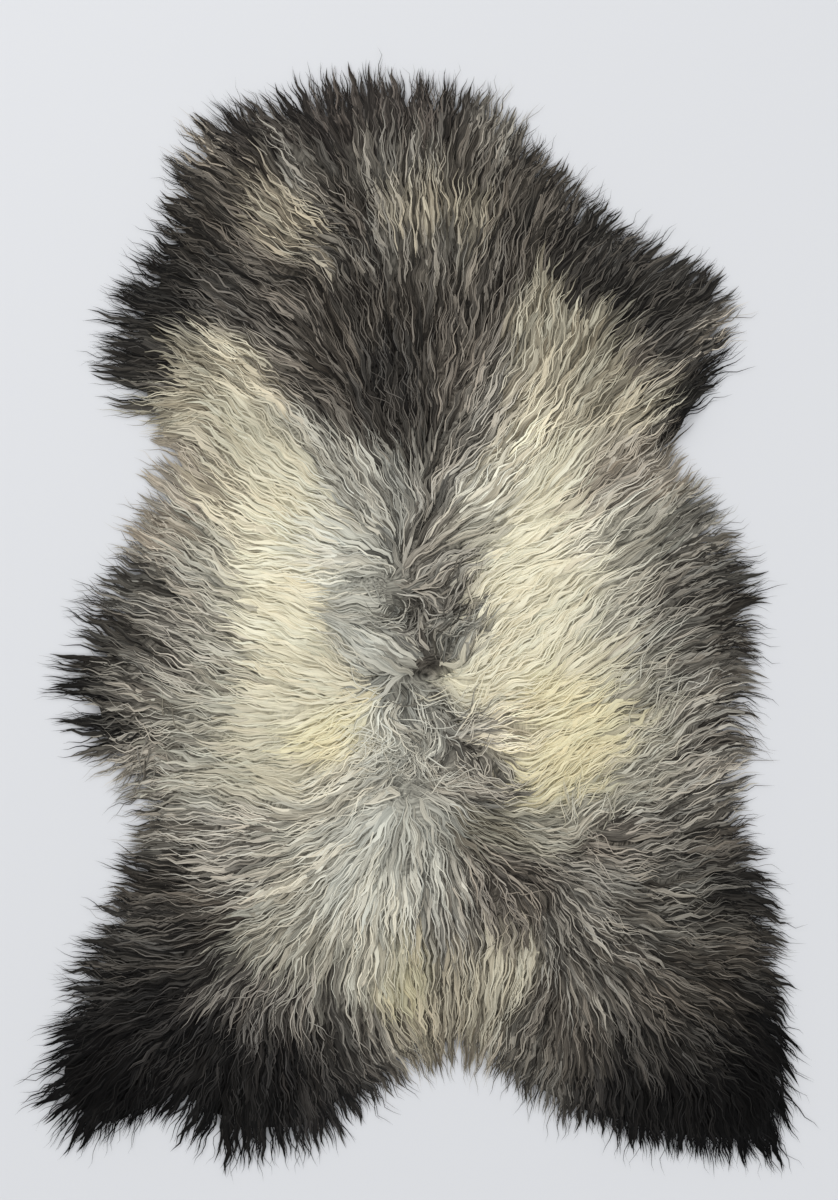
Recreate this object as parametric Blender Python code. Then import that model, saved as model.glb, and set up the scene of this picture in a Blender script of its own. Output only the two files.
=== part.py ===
"""A long-wool sheepskin laid flat with its fleece up: the tanned hide, and the fleece that grows on it.

Metres, +Z up. The origin is on the surface that the pelt lies on, under the middle of its outline.
+Y points to the neck, and +X to the right as the pelt is seen from above.
"""

import math
import random
from collections import namedtuple

import bmesh
import bpy
from mathutils import Vector, noise

# The tanned skin
HIDE_THICKNESS = 0.002
SKIN_INSET = 0.018  # from the roots of the rim locks in to the cut edge of the skin

# The fleece, a lumpy slab of leaning wool
PILE_HEIGHT = 0.037  # away from the rim and the partings
RIM_HEIGHT = 0.013  # where the rim locks begin
RIM_FALL = 0.100  # how far in from the rim the pile takes to stand at its full height
LAYER_GAP = 0.0003  # between the skin's face and the fleece
EDGE_GAP = 0.0015  # between the skin's cut edge and the fleece around it
WAVE_RISE, WAVE_SIZE = 0.0040, 0.150  # broad rises and hollows
STAPLE_RISE, STAPLE_WIDTH, STAPLE_LENGTH = 0.0080, 0.034, 0.120  # ridges that follow the wool

# The locks that reach past the slab all round, one on every second stretch of its wall
LOCK_STEPS = 3
LOCK_TIP_WIDTH = 0.0022
LOCK_TIP_HEIGHT = 0.0024
LOCK_SWELL = 0.8  # how much wider than its root a lock would grow without its taper
LOCK_SWAY = 0.0040
SHORTEST_LOCK = 0.75  # as a share of the lock length of its landmark
LOCK_ROOM = 0.010  # a lock whose tip would lie nearer to the wall is left out, as in the armpits
LOCK_SEED = 7

RAYS_PER_SIDE = 128  # lines of wool from the spine to each side of the outline
FIRST_RING = 0.012  # from the spine
RING_SHARES = (0.0, 0.09, 0.21, 0.35, 0.50, 0.64, 0.78, 0.90, 1.0)  # of the way on from there to the rim
SIDE_SAMPLES = 24  # points between two landmarks, before the rays are spaced evenly

Landmark = namedtuple("Landmark", "place x y foot lock")
Ray = namedtuple("Ray", "start rim heading lock")
Parting = namedtuple("Parting", "place start end depth reach")

NAPE = Landmark("nape", -0.049, 0.548, 0.271, 0.030)
TAIL = Landmark("tail", 0.041, -0.446, -0.300, 0.022)

# Each row is a turn of the outline that the wool's tips make. foot is where on the spine the wool
# that ends there starts, as a height along Y, and lock is the length of the locks at that place.
LEFT_SIDE = (
    NAPE,
    Landmark("neck", -0.179, 0.513, 0.268, 0.028),
    Landmark("neck corner", -0.230, 0.490, 0.264, 0.024),
    Landmark("throat", -0.260, 0.405, 0.255, 0.026),
    Landmark("shoulder", -0.291, 0.352, 0.238, 0.030),
    Landmark("foreleg, top", -0.318, 0.305, 0.220, 0.036),
    Landmark("foreleg, tip", -0.316, 0.228, 0.155, 0.040),
    Landmark("elbow", -0.270, 0.199, 0.110, 0.018),
    Landmark("armpit", -0.259, 0.164, 0.060, 0.018),
    Landmark("ribs", -0.302, 0.064, -0.045, 0.026),
    Landmark("belly, top", -0.330, 0.008, -0.075, 0.032),
    Landmark("belly, tip", -0.368, -0.065, -0.110, 0.040),
    Landmark("belly, low", -0.350, -0.124, -0.135, 0.038),
    Landmark("flank notch", -0.284, -0.196, -0.185, 0.022),
    Landmark("thigh", -0.322, -0.304, -0.245, 0.026),
    Landmark("hind leg", -0.372, -0.430, -0.282, 0.028),
    Landmark("hind corner", -0.387, -0.484, -0.287, 0.028),
    Landmark("hind edge", -0.345, -0.529, -0.290, 0.028),
    Landmark("split of the leg", -0.268, -0.497, -0.292, 0.022),
    Landmark("britch, outer", -0.230, -0.526, -0.294, 0.030),
    Landmark("britch", -0.149, -0.550, -0.296, 0.036),
    Landmark("britch, inner", -0.085, -0.512, -0.298, 0.030),
    Landmark("dock", 0.001, -0.455, -0.300, 0.024),
    TAIL,
)
RIGHT_SIDE = (
    NAPE,
    Landmark("crest", 0.011, 0.541, 0.268, 0.028),
    Landmark("neck", 0.071, 0.521, 0.245, 0.026),
    Landmark("neck slope", 0.181, 0.414, 0.186, 0.028),
    Landmark("shoulder", 0.245, 0.374, 0.140, 0.030),
    Landmark("foreleg corner", 0.303, 0.345, 0.115, 0.032),
    Landmark("foreleg", 0.317, 0.295, 0.095, 0.034),
    Landmark("foreleg, low", 0.285, 0.200, 0.040, 0.020),
    Landmark("armpit", 0.253, 0.168, 0.012, 0.016),
    Landmark("ribs, top", 0.290, 0.116, -0.035, 0.026),
    Landmark("ribs", 0.320, 0.074, -0.060, 0.030),
    Landmark("belly", 0.344, 0.014, -0.082, 0.036),
    Landmark("belly, low", 0.338, -0.084, -0.112, 0.034),
    Landmark("flank", 0.327, -0.160, -0.165, 0.026),
    Landmark("flank notch", 0.330, -0.220, -0.215, 0.024),
    Landmark("hip", 0.361, -0.276, -0.258, 0.030),
    Landmark("hind leg", 0.377, -0.424, -0.286, 0.026),
    Landmark("hind corner", 0.387, -0.484, -0.290, 0.028),
    Landmark("hind edge", 0.368, -0.538, -0.292, 0.030),
    Landmark("hind edge, inner", 0.300, -0.548, -0.294, 0.032),
    Landmark("britch", 0.181, -0.524, -0.297, 0.032),
    Landmark("britch, inner", 0.124, -0.494, -0.299, 0.028),
    Landmark("dock", 0.084, -0.458, -0.300, 0.024),
    TAIL,
)

# The line that the wool parts from, neck to tail
SPINE = (
    Vector((-0.020, 0.271)),
    Vector((-0.022, 0.056)),
    Vector((0.008, -0.052)),
    Vector((-0.015, -0.184)),
    Vector((0.006, -0.300)),
)

# Troughs where the wool lies apart. reach is the half width of each.
PARTINGS = (
    Parting("withers", (-0.020, 0.240), (-0.020, 0.150), 0.007, 0.016),
    Parting("back", (-0.024, 0.070), (0.008, -0.056), 0.011, 0.017),
    Parting("loin, across", (-0.044, -0.060), (0.034, -0.058), 0.009, 0.013),
    Parting("croup", (-0.016, -0.110), (-0.014, -0.205), 0.006, 0.016),
    Parting("right seam", (0.168, -0.078), (0.184, -0.190), 0.007, 0.014),
    Parting("right hip", (0.184, -0.190), (0.132, -0.268), 0.008, 0.015),
    Parting("right thigh", (0.136, -0.290), (0.140, -0.400), 0.006, 0.016),
    Parting("left hip", (-0.215, -0.250), (-0.218, -0.360), 0.006, 0.018),
)

HIDE_COLOUR = (0.62, 0.50, 0.36, 1.0)
FLEECE_COLOUR = (0.24, 0.22, 0.18, 1.0)


def clear_scene():
    for obj in list(bpy.data.objects):
        bpy.data.objects.remove(obj)


def plain_material(name, colour, roughness):
    material = bpy.data.materials.new(name)
    material.use_nodes = True
    shader = material.node_tree.nodes["Principled BSDF"]
    shader.inputs["Base Color"].default_value = colour
    shader.inputs["Roughness"].default_value = roughness
    shader.inputs["Metallic"].default_value = 0.0
    return material


def through(before, start, end, after, share):
    """A value on the smooth curve through four values, share of the way from start to end."""
    gap, leave, arrive = end - start, (end - before) / 2.0, (after - start) / 2.0
    bend = 3.0 * gap - 2.0 * leave - arrive
    return start + share * (leave + share * (bend + share * (leave + arrive - 2.0 * gap)))


def smooth_side(rows):
    """The side's landmarks joined by a smooth curve, as many small steps of (x, y, foot, lock)."""
    values = [Vector((row.x, row.y, row.foot, row.lock)) for row in rows]
    points = []
    for i in range(len(values) - 1):
        before = values[max(i - 1, 0)]
        after = values[min(i + 2, len(values) - 1)]
        for step in range(SIDE_SAMPLES):
            share = step / SIDE_SAMPLES
            curved = through(before, values[i], values[i + 1], after, share)
            straight = values[i].lerp(values[i + 1], share)
            points.append(Vector((curved.x, curved.y, straight.z, straight.w)))
    points.append(values[-1])
    return points


def even_steps(points, count):
    """count + 1 points, the same distance apart along a line of points."""
    along = [0.0]
    for a, b in zip(points, points[1:]):
        along.append(along[-1] + (b.xy - a.xy).length)
    spaced, k = [], 0
    for i in range(count + 1):
        wanted = along[-1] * i / count
        while k < len(points) - 2 and along[k + 1] < wanted:
            k += 1
        share = (wanted - along[k]) / (along[k + 1] - along[k])
        spaced.append(points[k].lerp(points[k + 1], min(share, 1.0)))
    return spaced


def spine_at(y):
    """The point of the spine at this height along Y."""
    for upper, lower in zip(SPINE, SPINE[1:]):
        if y >= lower.y:
            return upper.lerp(lower, (upper.y - y) / (upper.y - lower.y))
    return SPINE[-1].copy()


def wool_rays():
    """The lines that the wool follows, from the spine to the rim, once round the pelt from the nape."""
    left = even_steps(smooth_side(LEFT_SIDE), RAYS_PER_SIDE)
    right = even_steps(smooth_side(RIGHT_SIDE), RAYS_PER_SIDE)
    rays = []
    for point in left + right[-2:0:-1]:
        foot = spine_at(point.z)
        heading = (point.xy - foot).normalized()
        rays.append(Ray(foot + heading * FIRST_RING, point.xy - heading * point.w, heading, point.w))
    return rays


def eased(share):
    share = min(max(share, 0.0), 1.0)
    return share * share * (3.0 - 2.0 * share)


def parting_drop(place):
    """How far the pile dips here, into the deepest of the partings near by."""
    deepest = 0.0
    for parting in PARTINGS:
        start, end = Vector(parting.start), Vector(parting.end)
        line = end - start
        share = min(max((place - start).dot(line) / line.length_squared, 0.0), 1.0)
        off = (place - start - line * share).length / parting.reach
        deepest = max(deepest, parting.depth * math.exp(-off * off))
    return deepest


def staple_rise(ray, place):
    """The ridges of the staples, which run along the wool and flatten towards the spine and the rim."""
    out = (place - ray.start).length
    length = (ray.rim - ray.start).length
    along = Vector((*(ray.rim / STAPLE_WIDTH), out / STAPLE_LENGTH))
    fade = eased(out / (0.4 * length)) * (1.0 - 0.6 * eased(out / length))
    return STAPLE_RISE * fade * noise.noise(along)


def distance_to_rim(rays, place):
    return min((ray.rim - place).length for ray in rays)


def pile_height(rays, ray, place):
    """The height of the wool's surface over the floor at a place along a ray."""
    from_rim = distance_to_rim(rays, place)
    waves = WAVE_RISE * noise.noise(Vector((*place, 0.0)) / WAVE_SIZE)
    crown = PILE_HEIGHT + waves - parting_drop(place)
    return RIM_HEIGHT + (crown - RIM_HEIGHT) * eased(from_rim / RIM_FALL) + staple_rise(ray, place)


def top_ring(bm, rays, share):
    ring = []
    for ray in rays:
        place = ray.start.lerp(ray.rim, share)
        ring.append(bm.verts.new((*place, pile_height(rays, ray, place))))
    return ring


def level_ring(bm, places, height):
    return [bm.verts.new((*place, height)) for place in places]


def outward(outline, i):
    """The direction at right angles to the outline at one of its points."""
    run = outline[(i + 1) % len(outline)] - outline[i - 1]
    return Vector((run.y, -run.x)).normalized()


def skin_outline(rays):
    """The cut edge of the skin, inwards from the rim, half along the wool and half straight in."""
    rim = [ray.rim for ray in rays]
    inwards = [(-ray.heading - outward(rim, i)).normalized() for i, ray in enumerate(rays)]
    return [place + inward * SKIN_INSET for place, inward in zip(rim, inwards)]


def widened(outline, distance):
    return [place + outward(outline, i) * distance for i, place in enumerate(outline)]


def bridge(bm, ring, following):
    """The band of faces between two rings."""
    count = len(ring)
    return [
        bm.faces.new((ring[i], ring[(i + 1) % count], following[(i + 1) % count], following[i]))
        for i in range(count)
    ]


def close_over_spine(bm, ring):
    """Joins the two sides of the innermost ring across the spine, with a triangle at each end."""
    left = ring[: len(ring) // 2 + 1]
    right = [ring[0], *reversed(ring[len(ring) // 2 :])]
    for i in range(len(left) - 1):
        corners = (left[i], left[i + 1], right[i + 1], right[i])
        bm.faces.new(tuple(dict.fromkeys(corners)))


def place_section(face, middle, across, width, height):
    """Sets a lock's end face to a cross-section that stands on the floor."""
    old = face.calc_center_median()
    for vert in face.verts:
        side = 1.0 if (vert.co - old).xy.dot(across) > 0.0 else -1.0
        level = height if vert.co.z > old.z else 0.0
        vert.co = Vector((*(middle + across * side * width / 2.0), level))


def grow_lock(bm, face, rays, i, rng):
    """Draws one stretch of the wall out into a lock that tapers to its tip and rests on the floor."""
    ray, following = rays[i], rays[(i + 1) % len(rays)]
    heading = (ray.heading + following.heading).normalized()
    across = (following.rim - ray.rim).normalized()
    root_width = (following.rim - ray.rim).length
    root_height = max(vert.co.z for vert in face.verts)
    root = (ray.rim + following.rim) / 2.0
    length = (ray.lock + following.lock) / 2.0 * rng.uniform(SHORTEST_LOCK, 1.0)
    sway = rng.uniform(-LOCK_SWAY, LOCK_SWAY)
    if distance_to_rim(rays, root + heading * length) < LOCK_ROOM:
        return
    for step in range(1, LOCK_STEPS + 1):
        share = step / LOCK_STEPS
        face = bmesh.ops.extrude_discrete_faces(bm, faces=[face])["faces"][0]
        drift = sway * math.sin(share * math.pi * 1.3)
        middle = root + heading * length * share + across * drift
        fullness = (1.0 - share**1.6) * (1.0 + LOCK_SWELL * share)
        width = LOCK_TIP_WIDTH + (root_width - LOCK_TIP_WIDTH) * fullness
        height = root_height + (LOCK_TIP_HEIGHT - root_height) * share**0.8
        place_section(face, middle, across, width, height)


def make_fleece(rays, material):
    bm = bmesh.new()
    tops = [top_ring(bm, rays, share) for share in RING_SHARES]
    wall_foot = level_ring(bm, [ray.rim for ray in rays], 0.0)
    recess_edge = widened(skin_outline(rays), EDGE_GAP)
    recess_foot = level_ring(bm, recess_edge, 0.0)
    skin_top = HIDE_THICKNESS + LAYER_GAP
    recess_top = level_ring(bm, recess_edge, skin_top)
    underside = level_ring(bm, [ray.start for ray in rays], skin_top)
    for ring, following in zip(tops, tops[1:]):
        bridge(bm, ring, following)
    wall = bridge(bm, tops[-1], wall_foot)
    bridge(bm, wall_foot, recess_foot)
    bridge(bm, recess_foot, recess_top)
    bridge(bm, recess_top, underside)
    close_over_spine(bm, tops[0])
    close_over_spine(bm, underside)
    bmesh.ops.recalc_face_normals(bm, faces=bm.faces)
    rng = random.Random(LOCK_SEED)
    for i in range(0, len(rays), 2):
        grow_lock(bm, wall[i], rays, i, rng)
    mesh = bpy.data.meshes.new("fleece")
    bm.to_mesh(mesh)
    bm.free()
    mesh.shade_smooth()
    mesh.materials.append(material)
    return bpy.data.objects.new("fleece", mesh)


def make_hide(rays, material):
    """The skin, cut flat: its outline is a filled curve, extruded to the skin's thickness."""
    curve = bpy.data.curves.new("hide", "CURVE")
    curve.dimensions = "2D"
    curve.fill_mode = "BOTH"
    curve.extrude = HIDE_THICKNESS / 2.0
    spline = curve.splines.new("POLY")
    outline = skin_outline(rays)
    spline.points.add(len(outline) - 1)
    for point, place in zip(spline.points, outline):
        point.co = (*place, 0.0, 1.0)
    spline.use_cyclic_u = True
    curve.materials.append(material)
    hide = bpy.data.objects.new("hide", curve)
    hide.location.z = HIDE_THICKNESS / 2.0
    return hide


def main():
    clear_scene()
    pelt = bpy.data.collections.new("sheepskin")
    bpy.context.scene.collection.children.link(pelt)
    rays = wool_rays()
    fleece = make_fleece(rays, plain_material("wool", FLEECE_COLOUR, 0.85))
    hide = make_hide(rays, plain_material("tanned skin", HIDE_COLOUR, 0.8))
    corners = [vert.co for vert in fleece.data.vertices]
    middle_x = (min(c.x for c in corners) + max(c.x for c in corners)) / 2.0
    middle_y = (min(c.y for c in corners) + max(c.y for c in corners)) / 2.0
    for obj in (fleece, hide):
        obj.location.x -= middle_x
        obj.location.y -= middle_y
        pelt.objects.link(obj)


main()
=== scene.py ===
import math

import bmesh
import bpy
import numpy as np
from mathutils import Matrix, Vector, noise
from mathutils.bvhtree import BVHTree


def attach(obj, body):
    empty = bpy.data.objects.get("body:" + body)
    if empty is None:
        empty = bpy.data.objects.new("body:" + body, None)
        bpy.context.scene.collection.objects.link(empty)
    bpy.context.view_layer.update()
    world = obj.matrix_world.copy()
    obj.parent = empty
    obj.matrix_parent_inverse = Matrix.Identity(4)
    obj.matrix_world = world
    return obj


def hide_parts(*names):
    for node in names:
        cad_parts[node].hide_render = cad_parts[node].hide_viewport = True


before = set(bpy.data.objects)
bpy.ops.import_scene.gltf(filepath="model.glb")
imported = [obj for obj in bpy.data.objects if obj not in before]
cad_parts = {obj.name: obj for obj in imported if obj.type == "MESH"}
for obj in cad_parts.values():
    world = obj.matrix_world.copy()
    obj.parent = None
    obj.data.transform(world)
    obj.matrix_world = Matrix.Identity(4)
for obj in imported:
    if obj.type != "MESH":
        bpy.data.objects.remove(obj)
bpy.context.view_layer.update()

# A long-wool sheepskin lying flat with its fleece up. Metres, +Z up, the neck towards +Y.
# The tables of places below are in millimetres, from the same origin.
mm = 0.001
brightness = (0.3, 0.6, 0.1)    # how much red, green and blue count in how bright a colour is
firstThrow = 5                  # added to a seed, so that dice don't repeat what planted the hairs


# Short calls that the node trees share

class Wire:
    # an output of a node; a sign of arithmetic on it adds a Math node to the same tree
    def __init__(self, node, name=0):
        self.node = node
        self.name = name
        self.tree = node.id_data

    def of(self, name):
        return Wire(self.node, name)

    def __add__(self, other):
        return maths("ADD", self, other)

    def __sub__(self, other):
        return maths("SUBTRACT", self, other)

    def __rsub__(self, other):
        return maths("SUBTRACT", other, self)

    def __mul__(self, other):
        return maths("MULTIPLY", self, other)

    def __truediv__(self, other):
        return maths("DIVIDE", self, other)

    def __pow__(self, other):
        return maths("POWER", self, other)


def socketOf(sockets, name):
    live = [socket for socket in sockets if socket.enabled]
    if isinstance(name, int):
        return live[name]
    return next(socket for socket in live if socket.name == name)


def fill(node, inputs):
    # an input that is a wire is linked, and anything else is a value
    for name, value in inputs.items():
        socket = socketOf(node.inputs, name)
        if isinstance(value, Wire):
            node.id_data.links.new(socketOf(value.node.outputs, value.name), socket)
        else:
            socket.default_value = value


def put(tree, kind, inputs=None, **settings):
    # a new node, and the wire from its first output
    node = tree.nodes.new(kind)
    for name, value in settings.items():
        setattr(node, name, value)
    fill(node, inputs or {})
    return Wire(node)


def treeOf(values):
    return next(value.tree for value in values if isinstance(value, Wire))


def maths(operation, *values):
    return put(treeOf(values), "ShaderNodeMath", dict(enumerate(values)), operation=operation)


def vectors(operation, *values):
    return put(treeOf(values), "ShaderNodeVectorMath", dict(enumerate(values)), operation=operation)


def parts(vector):
    split = put(vector.tree, "ShaderNodeSeparateXYZ", {0: vector})
    return [split.of(i) for i in range(3)]


def joined(*values):
    return put(treeOf(values), "ShaderNodeCombineXYZ", dict(enumerate(values)))


def eased(value, low, high):
    # 0 up to low, 1 from high, and a smooth rise between them
    inputs = {"Value": value, "From Min": low, "From Max": high}
    return put(value.tree, "ShaderNodeMapRange", inputs, interpolation_type="SMOOTHSTEP")


def mixed(share, start, end):
    return put(share.tree, "ShaderNodeMix", {0: share, 1: start, 2: end}, data_type="VECTOR")


def attribute(tree, name, kind="FLOAT"):
    return put(tree, "GeometryNodeInputNamedAttribute", {"Name": name}, data_type=kind)


def vectorOf(tree, name):
    return attribute(tree, name, "FLOAT_VECTOR")


def stored(geometry, name, value, kind="FLOAT_VECTOR", domain="POINT"):
    inputs = {"Geometry": geometry, "Name": name, "Value": value}
    return put(geometry.tree, "GeometryNodeStoreNamedAttribute", inputs, data_type=kind, domain=domain)


def dice(seed, throw, **identity):
    # the same throw for the same seed, and another for each number of the throw
    inputs = {"Min": 0.0, "Max": 1.0, "Seed": seed + float(firstThrow + throw), **identity}
    return put(seed.tree, "FunctionNodeRandomValue", inputs, data_type="FLOAT")


def newGroup(name, kind, inputs, outputs):
    # inputs and outputs are dictionaries from a socket's name to its type
    tree = bpy.data.node_groups.new(name, kind)
    for direction, sockets in (("INPUT", inputs), ("OUTPUT", outputs)):
        for label, socketType in sockets.items():
            tree.interface.new_socket(label, in_out=direction, socket_type=socketType)
    return tree


def newMaterial(name):
    material = bpy.data.materials.new(name)
    material.use_nodes = True
    return material, material.node_tree, material.node_tree.nodes["Principled BSDF"]


def placed(name, data):
    thing = bpy.data.objects.new(name, data)
    bpy.context.scene.collection.objects.link(thing)
    return thing


def linear(shade):
    # a colour of 0 to 255 as the eye sees it, in linear light
    part = np.asarray(shade, dtype=float) / 255.0
    return np.where(part <= 0.04045, part / 12.92, ((part + 0.055) / 1.055) ** 2.4)


# How the wool lies: rows of x, y and the heading of the wool there in degrees, 0 to the right of the
# picture and 90 to the neck
combStrokes = dict(
    neck=(
        (-72, 538, 100), (0, 520, 90), (8, 506, 83), (64, 492, 72), (120, 450, 58), (-152, 505, 128),
        (-219, 468, 143), (-112, 457, 122), (-18, 484, 92), (-166, 396, 140), (-125, 390, 116),
        (-112, 369, 165), (-94, 384, 178), (-70, 400, 104), (22, 395, 90), (78, 395, 75), (148, 409, 58),
        (-72, 350, 106), (92, 339, 78), (-20, 318, 92),
    ),
    leftShoulder=(
        (-259, 404, 150), (-286, 355, 153), (-152, 350, 150), (-299, 311, 162), (-326, 284, 178),
        (-313, 238, 166), (-292, 217, 166), (-262, 206, 190), (-206, 258, 148), (-152, 298, 141),
        (-72, 298, 114), (-125, 231, 146),
    ),
    rightShoulder=(
        (217, 381, 42), (259, 339, 38), (162, 339, 52), (8, 296, 86), (120, 296, 80), (64, 240, 63),
        (148, 254, 65), (190, 254, 50), (259, 268, 33), (287, 226, 37),
    ),
    leftBack=(
        (-179, 172, 137), (-249, 150, 142), (-259, 110, 150), (-125, 177, 128), (-72, 191, 122),
        (-45, 137, 120), (-98, 97, 152), (-152, 124, 150), (-125, 57, 172), (-232, 84, 148), (-299, 70, 162),
        (-18, 218, 92), (-12, 178, 100), (-45, 38, 188),
    ),
    rightBack=(
        (106, 198, 55), (176, 198, 47), (217, 170, 38), (259, 148, 40), (22, 156, 50), (64, 148, 45),
        (120, 143, 48), (176, 129, 38), (245, 129, 40), (287, 101, 33), (36, 73, 24), (106, 87, 23),
        (162, 87, 31), (231, 73, 35), (301, 73, 15),
    ),
    leftFlank=(
        (-366, -24, 173), (-380, -69, 182), (-380, -96, 178), (-366, -114, 174), (-332, -140, 192),
        (-322, -100, 172), (-313, -171, 210), (-276, -158, 206), (-272, -192, 190), (-292, -20, 160),
        (-205, -2, 155), (-125, -2, 160), (-259, -56, 152), (-179, -56, 160), (-112, -64, 160),
        (-71, -50, 140), (-259, -96, 170), (-179, -109, 175), (-112, -122, 190), (-85, -136, 214),
        (-98, -101, 207), (-232, -128, 172), (-205, -163, 168), (-259, -176, 178), (-152, -182, 157),
    ),
    rightFlank=(
        (148, -32, 49), (106, 10, 32), (231, 10, 32), (287, -4, 20), (343, -40, -15), (343, -116, -35),
        (64, -46, 32), (92, -79, 8), (162, -60, 30), (148, -102, 28), (231, -74, 28), (287, -88, 26),
        (245, -130, 22), (287, -144, 25), (329, -158, 18), (134, -152, 36), (78, -158, -5), (301, -199, 22),
        (231, -208, 15), (176, -213, 10),
    ),
    rump=(
        (50, -199, -18), (106, -236, -15), (148, -233, 0), (-6, -202, 268), (22, -199, -52), (8, -241, 270),
        (36, -241, 300), (-179, -217, 183), (-259, -217, 177), (-205, -257, 182), (-125, -230, 192),
        (-125, -262, 208), (-71, -217, 202), (-71, -257, 228), (-31, -243, 255), (-24, -123, 250),
        (-6, -270, 264), (22, -270, 288), (50, -284, 282), (78, -292, 290),
    ),
    leftHindLeg=(
        (-273, -251, 168), (-313, -270, 168), (-232, -269, 176), (-179, -282, 190), (-125, -282, 212),
        (-85, -282, 232), (-32, -282, 262), (-313, -336, 172), (-259, -336, 178), (-206, -330, 205),
        (-166, -344, 218), (-125, -349, 240), (-72, -322, 258), (-18, -349, 273), (-273, -381, 198),
        (-206, -403, 232), (-340, -371, 186), (-152, -392, 260), (-125, -389, 268), (-72, -397, 282),
        (-18, -416, 292), (-10, -456, 300), (-313, -443, 222), (-353, -430, 202), (-372, -474, 212),
        (-354, -500, 228), (-322, -502, 240), (-288, -484, 246), (-250, -470, 226), (-250, -500, 226),
        (-232, -522, 245), (-206, -514, 258), (-179, -483, 264), (-152, -510, 276), (-112, -470, 280),
        (-72, -470, 292), (-32, -470, 304),
    ),
    rightHindLeg=(
        (315, -241, 12), (349, -250, -30), (231, -247, 2), (176, -264, -28), (231, -269, -10),
        (36, -354, 272), (64, -368, 264), (92, -354, 256), (106, -387, 232), (36, -415, 266), (92, -424, 248),
        (114, -438, 250), (136, -284, -60), (162, -312, -54), (136, -312, -72), (114, -312, 242),
        (203, -292, -14), (259, -289, 6), (217, -326, -35), (259, -340, -14), (176, -354, -64),
        (217, -376, -52), (259, -376, -38), (287, -376, -28), (315, -334, -4), (343, -298, -18),
        (343, -368, -28), (148, -410, 270), (189, -410, 286), (231, -424, 292), (287, -424, -46),
        (329, -438, -30), (357, -424, -58), (148, -479, 264), (189, -493, 272), (259, -507, 273),
        (315, -507, 280), (357, -507, 290), (377, -479, 300),
    ),
)

# The same for the whorls along the spine and the loin, where it turns within a few locks
whorlStrokes = dict(
    fan=(
        (6, 162, 94), (-14, 158, 118), (-34, 166, 128), (24, 162, 68), (36, 150, 44), (52, 166, 52),
        (-26, 134, 122), (-8, 118, 112), (8, 112, 84), (24, 122, 62), (44, 128, 46),
    ),
    upperWhorl=(
        (0, 84, 58), (16, 88, 56), (-16, 74, 72), (-34, 76, 132), (-48, 64, 152), (-62, 44, 178),
        (14, 56, 26), (36, 62, 20), (-40, 44, 176), (-26, 48, 110), (-6, 48, 30),
    ),
    spineCurls=(
        (-28, 30, -8), (-8, 26, -28), (8, 14, -52), (2, 42, 72), (18, 38, 58), (34, 22, 50), (52, 22, 50),
        (64, 8, 56), (-22, 6, 250), (-44, 14, 172), (-6, 0, 236), (16, -4, 34), (40, -2, 24),
    ),
    knot=(
        (6, -34, 118), (14, -30, 102), (26, -28, 90), (37, -26, 80), (47, -34, 66), (-6, -44, 152),
        (-22, -32, 150), (-24, -14, 146), (62, -46, 42), (80, -36, 38), (46, -62, -4), (26, -66, -34),
    ),
    loinWhorl=(
        (-28, -72, 238), (-10, -78, 276), (4, -74, 302), (18, -82, 300), (30, -94, -50), (-46, -66, 190),
        (-60, -82, 202), (-50, -104, 262), (-34, -122, 250), (-12, -104, 280), (-8, -126, 286),
        (10, -128, 262), (22, -106, 292), (40, -114, 4), (64, -116, -2), (84, -120, -16), (30, -134, 258),
        (44, -132, 264), (60, -150, 270), (82, -150, 274),
    ),
    rumpWhorl=(
        (-34, -146, 196), (-60, -152, 186), (6, -170, 24), (-14, -164, 170), (24, -176, -30), (40, -192, -50),
        (-40, -184, 178), (-64, -196, 232), (58, -180, -6), (74, -188, -14), (70, -208, -18),
        (100, -216, -18), (8, -206, 280), (-18, -216, 254), (28, -212, -62),
    ),
)

# The wool's shades, each as the colour deep between the locks and the colour of their light hairs
shades = dict(
    jet=((3, 3, 3), (46, 44, 42)),
    soot=((9, 8, 8), (120, 115, 107)),
    dusk=((30, 27, 25), (118, 110, 102)),
    umber=((15, 13, 11), (154, 145, 132)),
    taupe=((36, 33, 29), (202, 195, 180)),
    ash=((74, 72, 65), (234, 230, 213)),
    silver=((177, 175, 162), (240, 237, 220)),
    stone=((122, 118, 105), (243, 237, 216)),
    oat=((112, 104, 87), (242, 233, 206)),
    cream=((217, 210, 183), (240, 234, 208)),
    butter=((219, 209, 170), (238, 229, 192)),
    fawn=((104, 96, 84), (220, 209, 190)),
    tan=((40, 35, 30), (194, 184, 161)),
)

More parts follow.
